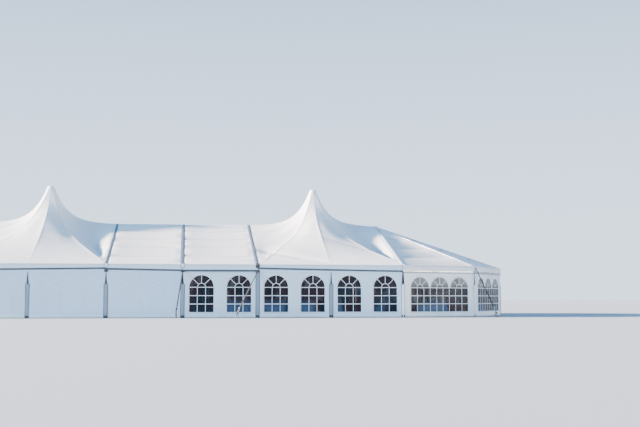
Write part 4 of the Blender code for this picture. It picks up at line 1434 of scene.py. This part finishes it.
for corner in range(SIDES + 1):
    for end_name, end_side, seed, cloth in (("right", round_place, 90, END_CLOTH),
                                            ("left", left_round_place, 120, SHADED_WALL_CLOTH)):
        joint_flap(f"{end_name}_end_flap_{corner + 1}", end_side, SIDE * corner, seed + 1.3 * corner,
                   FLAP_TOP, [cloth, DARK_FLAP_CLOTH_AND_EDGE_SHADE])


# Eave brackets: folded steel plates bolted over the beam's lower edge at each middle portal, with a
# chipped dark paint and galvanised bolts. The middle and the right one each carry a guy.
BRACKET_HALF = 0.085
BRACKET_LOW = BEAM_BOTTOM - 0.035
BRACKET_HIGH = BEAM_BOTTOM + 0.075
BRACKET_FOLD = 0.03
BRACKET_BOLT = 0.055
BRACKET_BOLT_UP = BEAM_BOTTOM + 0.025


def eave_bracket(name, place, way):
    """A plate with cut lower corners, two washers and two bolt heads."""
    half, low, high, at = BRACKET_HALF, BRACKET_LOW, BRACKET_HIGH, beside(place, way)
    outline = [(-half * 0.7, low), (half * 0.7, low), (half, low + BRACKET_FOLD), (half, high)]
    outline += [(-half, high), (-half, low + BRACKET_FOLD)]
    parts = [(*plate(outline, 0.0015, 0.0055, at), 0)]
    for a in (-BRACKET_BOLT, BRACKET_BOLT):
        parts.append((*plate(round_of(a, BRACKET_BOLT_UP, 0.013, 16), 0.005, 0.007, at), 1))
        parts.append((*plate(round_of(a, BRACKET_BOLT_UP, 0.009, 6), 0.007, 0.0125, at), 1))
    many_parts(name, parts, [BRACKET_STEEL, ZINC], 0.0010)


def zinc_steel(name):
    """Galvanised steel: pale spangles, dull patches and a few rust specks."""
    finish = Finish(name)
    spot = finish.place()
    spangle = finish.node("TexVoronoi", inputs={"Vector": spot, "Scale": 160.0}, out="Distance")
    dull = finish.step(finish.clouds(spot, 12.0, 4.0, 0.6), 0.42, 0.68)
    specks = finish.step(finish.clouds(spot, 130.0, 2.0), 0.66, 0.72)
    tone = finish.blend(spangle * 0.8, (0.42, 0.44, 0.46), (0.28, 0.30, 0.33))
    tone = finish.blend(dull * 0.5, tone, (0.24, 0.25, 0.26))
    tone = finish.blend(specks * 0.7, tone, (0.20, 0.10, 0.05))
    relief = finish.bump(spangle, 0.0003, 0.5)
    return finish.surface(Base_Color=tone, Metallic=0.9, Roughness=0.38 + dull * 0.22, Normal=relief)


BRACKET_STEEL = painted_steel("bracket_steel", (0.03, 0.036, 0.042), (0.20, 0.20, 0.20))
ZINC = zinc_steel("zinc_steel")
for spot_name, way in (("left", -BAY), ("middle", 0.0), ("right", BAY)):
    eave_bracket("front_bracket_" + spot_name, front_place, way)
    eave_bracket("back_bracket_" + spot_name, back_place, way)


# Guys: webbing doubled round a steel ring at the eave and drawn tight by a ratchet, whose short lower
# strap holds a driven stake. The loose end of the webbing hangs from the ratchet.
GUY_IN = 0.0047
HOOK_RISE = 0.022
RING_OUT = 0.034
RING_RADIUS = 0.027
RING_WIRE = 0.0035
CORNER_HOOK = EAVE - 0.075
EYE_HALF = 0.019
EYE_HIGH = 0.012
GUY_WIDE = 0.05
WEB_THICK = 0.0022
WEB_APART = 0.0016
WEB_LOOP = 0.006
SEWN_DOWN = (0.07, 0.10, 0.13)
SEWN_THICK = 0.0085
GUY_FOOT = 0.15
RATCHET_LONG = 0.16
RATCHET_OFF = 0.14
RATCHET_HALF = 0.031
SPINDLE_ALONG = RATCHET_LONG * 0.55
SPINDLE_UP = 0.003
BAR_ALONG = RATCHET_LONG * 0.95
CHEEK_THICK = 0.0025
STAKE_RADIUS = 0.014
STAKE_HIGH = 0.20
GUY_TAIL = 0.34
GUY_REACH = 1.0
CORNER_GUY_REACH = 1.1
GUY_SLANTS = {"middle": (0.0, 0.25), "right": (BAY, 0.90)}


def ribbon(path, side, wide, thick):
    """Points and faces of webbing along a path, its width along one direction."""
    rims = []
    for i, spot in enumerate(path):
        run = (path[min(i + 1, len(path) - 1)] - path[max(i - 1, 0)]).normalized()
        rims.append(lambda a, b, spot=spot, off=run.cross(side).normalized(): spot + side * a + off * b)
    half, edge = wide / 2, thick / 2
    return swept([(-half, -edge), (half, -edge), (half, edge), (-half, edge)], rims)


def lathed(foot, profile, count=16):
    """Points and faces of a turned piece standing at a foot, from radii and heights."""
    rims = [lambda a, b, r=r, z=z: foot + Vector((a * r, b * r, z)) for r, z in profile]
    turns = [math.tau * k / count for k in range(count)]
    return swept([(math.cos(t), math.sin(t)) for t in turns], rims)


def ratchet(origin, run, side, out):
    """A webbing ratchet: two cheeks, toothed wheels on a spindle wound with webbing, and a folded lever."""
    def at(a, b, c):
        return origin + run * a + side * b + out * c

    def rod(a, c, reach, radius, count):
        return tube([at(a, -reach, c), at(a, reach, c)], radius, count)

    long, half, wide = RATCHET_LONG, RATCHET_HALF, RATCHET_HALF + 0.006
    cheek = [(0.0, -0.010), (long * 0.75, -0.016), (long, -0.006), (long, 0.008)]
    cheek += [(long * 0.8, 0.020), (long * 0.35, 0.022), (0.0, 0.010)]
    lever = [(long * 0.52, -0.004), (long * 0.60, 0.014), (long * 0.02, 0.040), (-0.012, 0.034)]
    lever += [(-0.006, 0.022)]
    wheel = round_of(SPINDLE_ALONG, SPINDLE_UP, 0.017, 24, 0.22)
    parts = []
    for hand in (-1, 1):
        for outline, near, far in ((cheek, half, half + CHEEK_THICK),
                                   (lever, half + 0.003, half + 0.003 + CHEEK_THICK),
                                   (wheel, half - 0.005, half - 0.001)):
            low, high = sorted((hand * near, hand * far))
            parts.append((*plate(outline, low, high, at), 1))
    parts.append((*rod(SPINDLE_ALONG, SPINDLE_UP, wide, 0.007, 12), 1))
    parts.append((*rod(SPINDLE_ALONG, SPINDLE_UP, GUY_WIDE / 2, 0.0145, 18), 0))
    parts.append((*rod(BAR_ALONG, 0.0, wide, 0.006, 12), 1))
    parts.append((*rod(0.0, 0.034, wide, 0.008, 12), 1))
    return parts


def guy(node, anchor, outward, foot, high):
    """The ring at the eave, the webbing with its ratchet and loose end, and the stake."""
    def at(a, b, c):
        return base + across * a + outward * b + UP * c

    base = anchor + UP * high
    top = base + outward * RING_OUT
    low = foot + UP * GUY_FOOT
    run = (low - top).normalized()
    side = run.cross(UP).normalized()
    out = side.cross(run)
    out = out if out.z > 0 else -out
    across = Vector((-outward.y, outward.x, 0.0))
    eye = [(-EYE_HALF, -EYE_HIGH), (EYE_HALF, -EYE_HIGH), (EYE_HALF, EYE_HIGH), (-EYE_HALF, EYE_HIGH)]
    parts = [(*plate(eye, 0.0, RING_OUT - 0.008, at), 1)]
    turns = [math.tau * k / 20 for k in range(21)]
    ring = [top + across * (RING_RADIUS * math.cos(t)) + UP * (RING_RADIUS / 3 * math.sin(t)) for t in turns]
    parts.append((*tube(ring, RING_WIRE, 8), 1))
    start = low - run * (RATCHET_OFF + RATCHET_LONG)
    spindle = start + run * SPINDLE_ALONG + out * SPINDLE_UP
    length = (start - top).length
    for hand in (1, -1):
        end = spindle + out * 0.012 * hand
        path = []
        for k in range(19):
            t = k / 18
            apart = 0.0045 * math.exp(-t * length / 0.10) + WEB_APART
            path.append(top.lerp(end, t) + out * hand * apart * (1 - t))
        parts.append((*ribbon(path, side, GUY_WIDE, WEB_THICK), 0))
    sewn = [top + run * down for down in SEWN_DOWN]
    parts.append((*ribbon(sewn, side, GUY_WIDE * 0.92, SEWN_THICK), 0))
    turns = [math.pi * k / 8 for k in range(9)]
    loop = [top + out * WEB_LOOP * math.cos(t) - run * WEB_LOOP * math.sin(t) for t in turns]
    parts.append((*ribbon(loop, side, GUY_WIDE, WEB_THICK), 0))
    parts += ratchet(start, run, side, out)
    bar = start + run * BAR_ALONG
    for hand in (-1, 1):
        off = out * hand
        path = [bar + off * 0.006, bar.lerp(low, 0.5) + off * 0.004, low + off * STAKE_RADIUS * 0.9]
        path.append(low + off * 0.008 + run * 0.018)
        parts.append((*ribbon(path, side, GUY_WIDE * 0.8, WEB_THICK), 0))
    tail = []
    for k in range(13):
        over = out * (0.014 + 0.03 * math.sin(math.pi * min(1.0, k / 8)))
        spot = spindle + over - UP * GUY_TAIL * k / 12 + outward * 0.012 * math.sin(k / 3)
        if spot.z > 0.02:
            tail.append(spot)
    parts.append((*ribbon(tail, side, GUY_WIDE * 0.9, WEB_THICK), 0))
    profile = [(1.0, -STAKE_HIGH), (1.0, -0.020), (1.2, -0.014), (2.0, -0.011), (2.0, -0.004), (1.5, 0.0)]
    profile.append((0.3, 0.0))
    stake = [(STAKE_RADIUS * share, STAKE_HIGH + z) for share, z in profile]
    parts.append((*lathed(foot, stake), 2))
    strap = many_parts(node + "_webbing", parts, [STRAP, ZINC, STAKE_STEEL], 0.0006)
    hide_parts(node)


STRAP = woven_tape("guy_webbing", (0.007, 0.010, 0.017), (0.020, 0.025, 0.033))
STAKE_STEEL = painted_steel("stake_steel", (0.06, 0.055, 0.05), (0.28, 0.28, 0.28))
for side_name, turned in (("front", 1), ("back", -1)):
    for spot_name, (x, slant) in GUY_SLANTS.items():
        anchor = Vector((x, -turned * (HALF_WIDTH - GUY_IN), 0.0))
        outward = Vector((0.0, -turned, 0.0))
        foot = anchor + outward * GUY_REACH - Vector((slant, 0.0, 0.0))
        guy(f"guy_{side_name}_{spot_name}", anchor, outward, foot, BEAM_BOTTOM + HOOK_RISE)
    for spot_name, hand in (("left_corner", -1), ("right_corner", 1)):
        x, y = corner_point(1, GUY_IN)
        anchor = Vector((hand * x, turned * y, 0.0))
        outward = Vector((hand * math.sin(TURN), -turned * math.cos(TURN), 0.0))
        foot = anchor + outward * CORNER_GUY_REACH
        guy(f"guy_{side_name}_{spot_name}", anchor, outward, foot, CORNER_HOOK)


# Ground, light and camera: a wide matt floor under a blue sky, a low warm sun from the left end, soft
# blue light from the left and weak warm light from the right, and the camera fitted to the photo.
FLOOR_HALF = 400.0
FLOOR_PALE = (0.41, 0.45, 0.49)
FLOOR_DARK = (0.38, 0.42, 0.46)
CAMERA_PLACE = (0.16, -44.55, 0.77)
CAMERA_YAW = 7.9
CAMERA_PITCH = 5.08
CAMERA_LENS = 53.9


def studio_floor(name):
    """Matt paint with very faint clouds."""
    finish = Finish(name)
    spot = finish.place()
    tone = finish.blend(finish.clouds(spot, 0.12, 2.0) * 0.4, FLOOR_PALE, FLOOR_DARK)
    return finish.surface(Base_Color=tone, Roughness=0.9)


def lamp(name, energy, spread, colour, toward):
    """A far lamp in some direction, its spread in degrees."""
    light = bpy.data.lights.new(name, "SUN")
    light.energy = energy
    light.angle = math.radians(spread)
    light.color = colour
    obj = bpy.data.objects.new(name, light)
    bpy.context.scene.collection.objects.link(obj)
    obj.rotation_euler = Vector(toward).to_track_quat("Z", "Y").to_euler()


corners = [(a * FLOOR_HALF, b * FLOOR_HALF, 0.0) for a, b in ((-1, -1), (1, -1), (1, 1), (-1, 1))]
floor_mesh = mesh_of("floor", corners, [(0, 1, 2, 3)], False)
floor_mesh.materials.append(studio_floor("floor_paint"))
floor = bpy.data.objects.new("floor", floor_mesh)
bpy.context.scene.collection.objects.link(floor)
floor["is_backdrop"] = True

lamp("low_sun", 42.0, 4.0, (1.0, 0.82, 0.70), (-0.95, 0.038, 0.218))
lamp("soft_fill", 4.6, 14.0, (0.38, 0.74, 1.0), (-0.88, -0.38, 0.09))
lamp("side_fill", 2.8, 24.0, (1.0, 0.93, 0.84), (0.80, -0.60, 0.04))

world = bpy.data.worlds.new("soft_sky")
sky = Finish("soft_sky", world)
toward = sky.node("TexCoord", out="Generated")
horizon = sky.blend(sky.step(sky.along(toward, 1), -0.5, 0.7), (0.22, 0.44, 0.74), (1.60, 1.90, 2.35))
tone = sky.blend(sky.step(sky.along(toward, 2), 0.0, 0.65), horizon, (0.16, 0.56, 1.15))
backdrop = sky.node("Background", inputs={0: tone})
sky.node("OutputWorld", inputs={0: backdrop})
bpy.context.scene.world = world

camera = bpy.data.cameras.new("camera")
camera.lens = CAMERA_LENS
camera.sensor_width = 36.0
camera.clip_end = 1000.0
eye = bpy.data.objects.new("camera", camera)
bpy.context.scene.collection.objects.link(eye)
yaw, pitch = math.radians(CAMERA_YAW), math.radians(CAMERA_PITCH)
ahead = Vector((math.sin(yaw) * math.cos(pitch), math.cos(yaw) * math.cos(pitch), math.sin(pitch)))
eye.location = CAMERA_PLACE
eye.rotation_euler = ahead.to_track_quat("-Z", "Y").to_euler()
bpy.context.scene.camera = eye

[[list(corner) for corner in box] for box in (cad_box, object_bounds())]
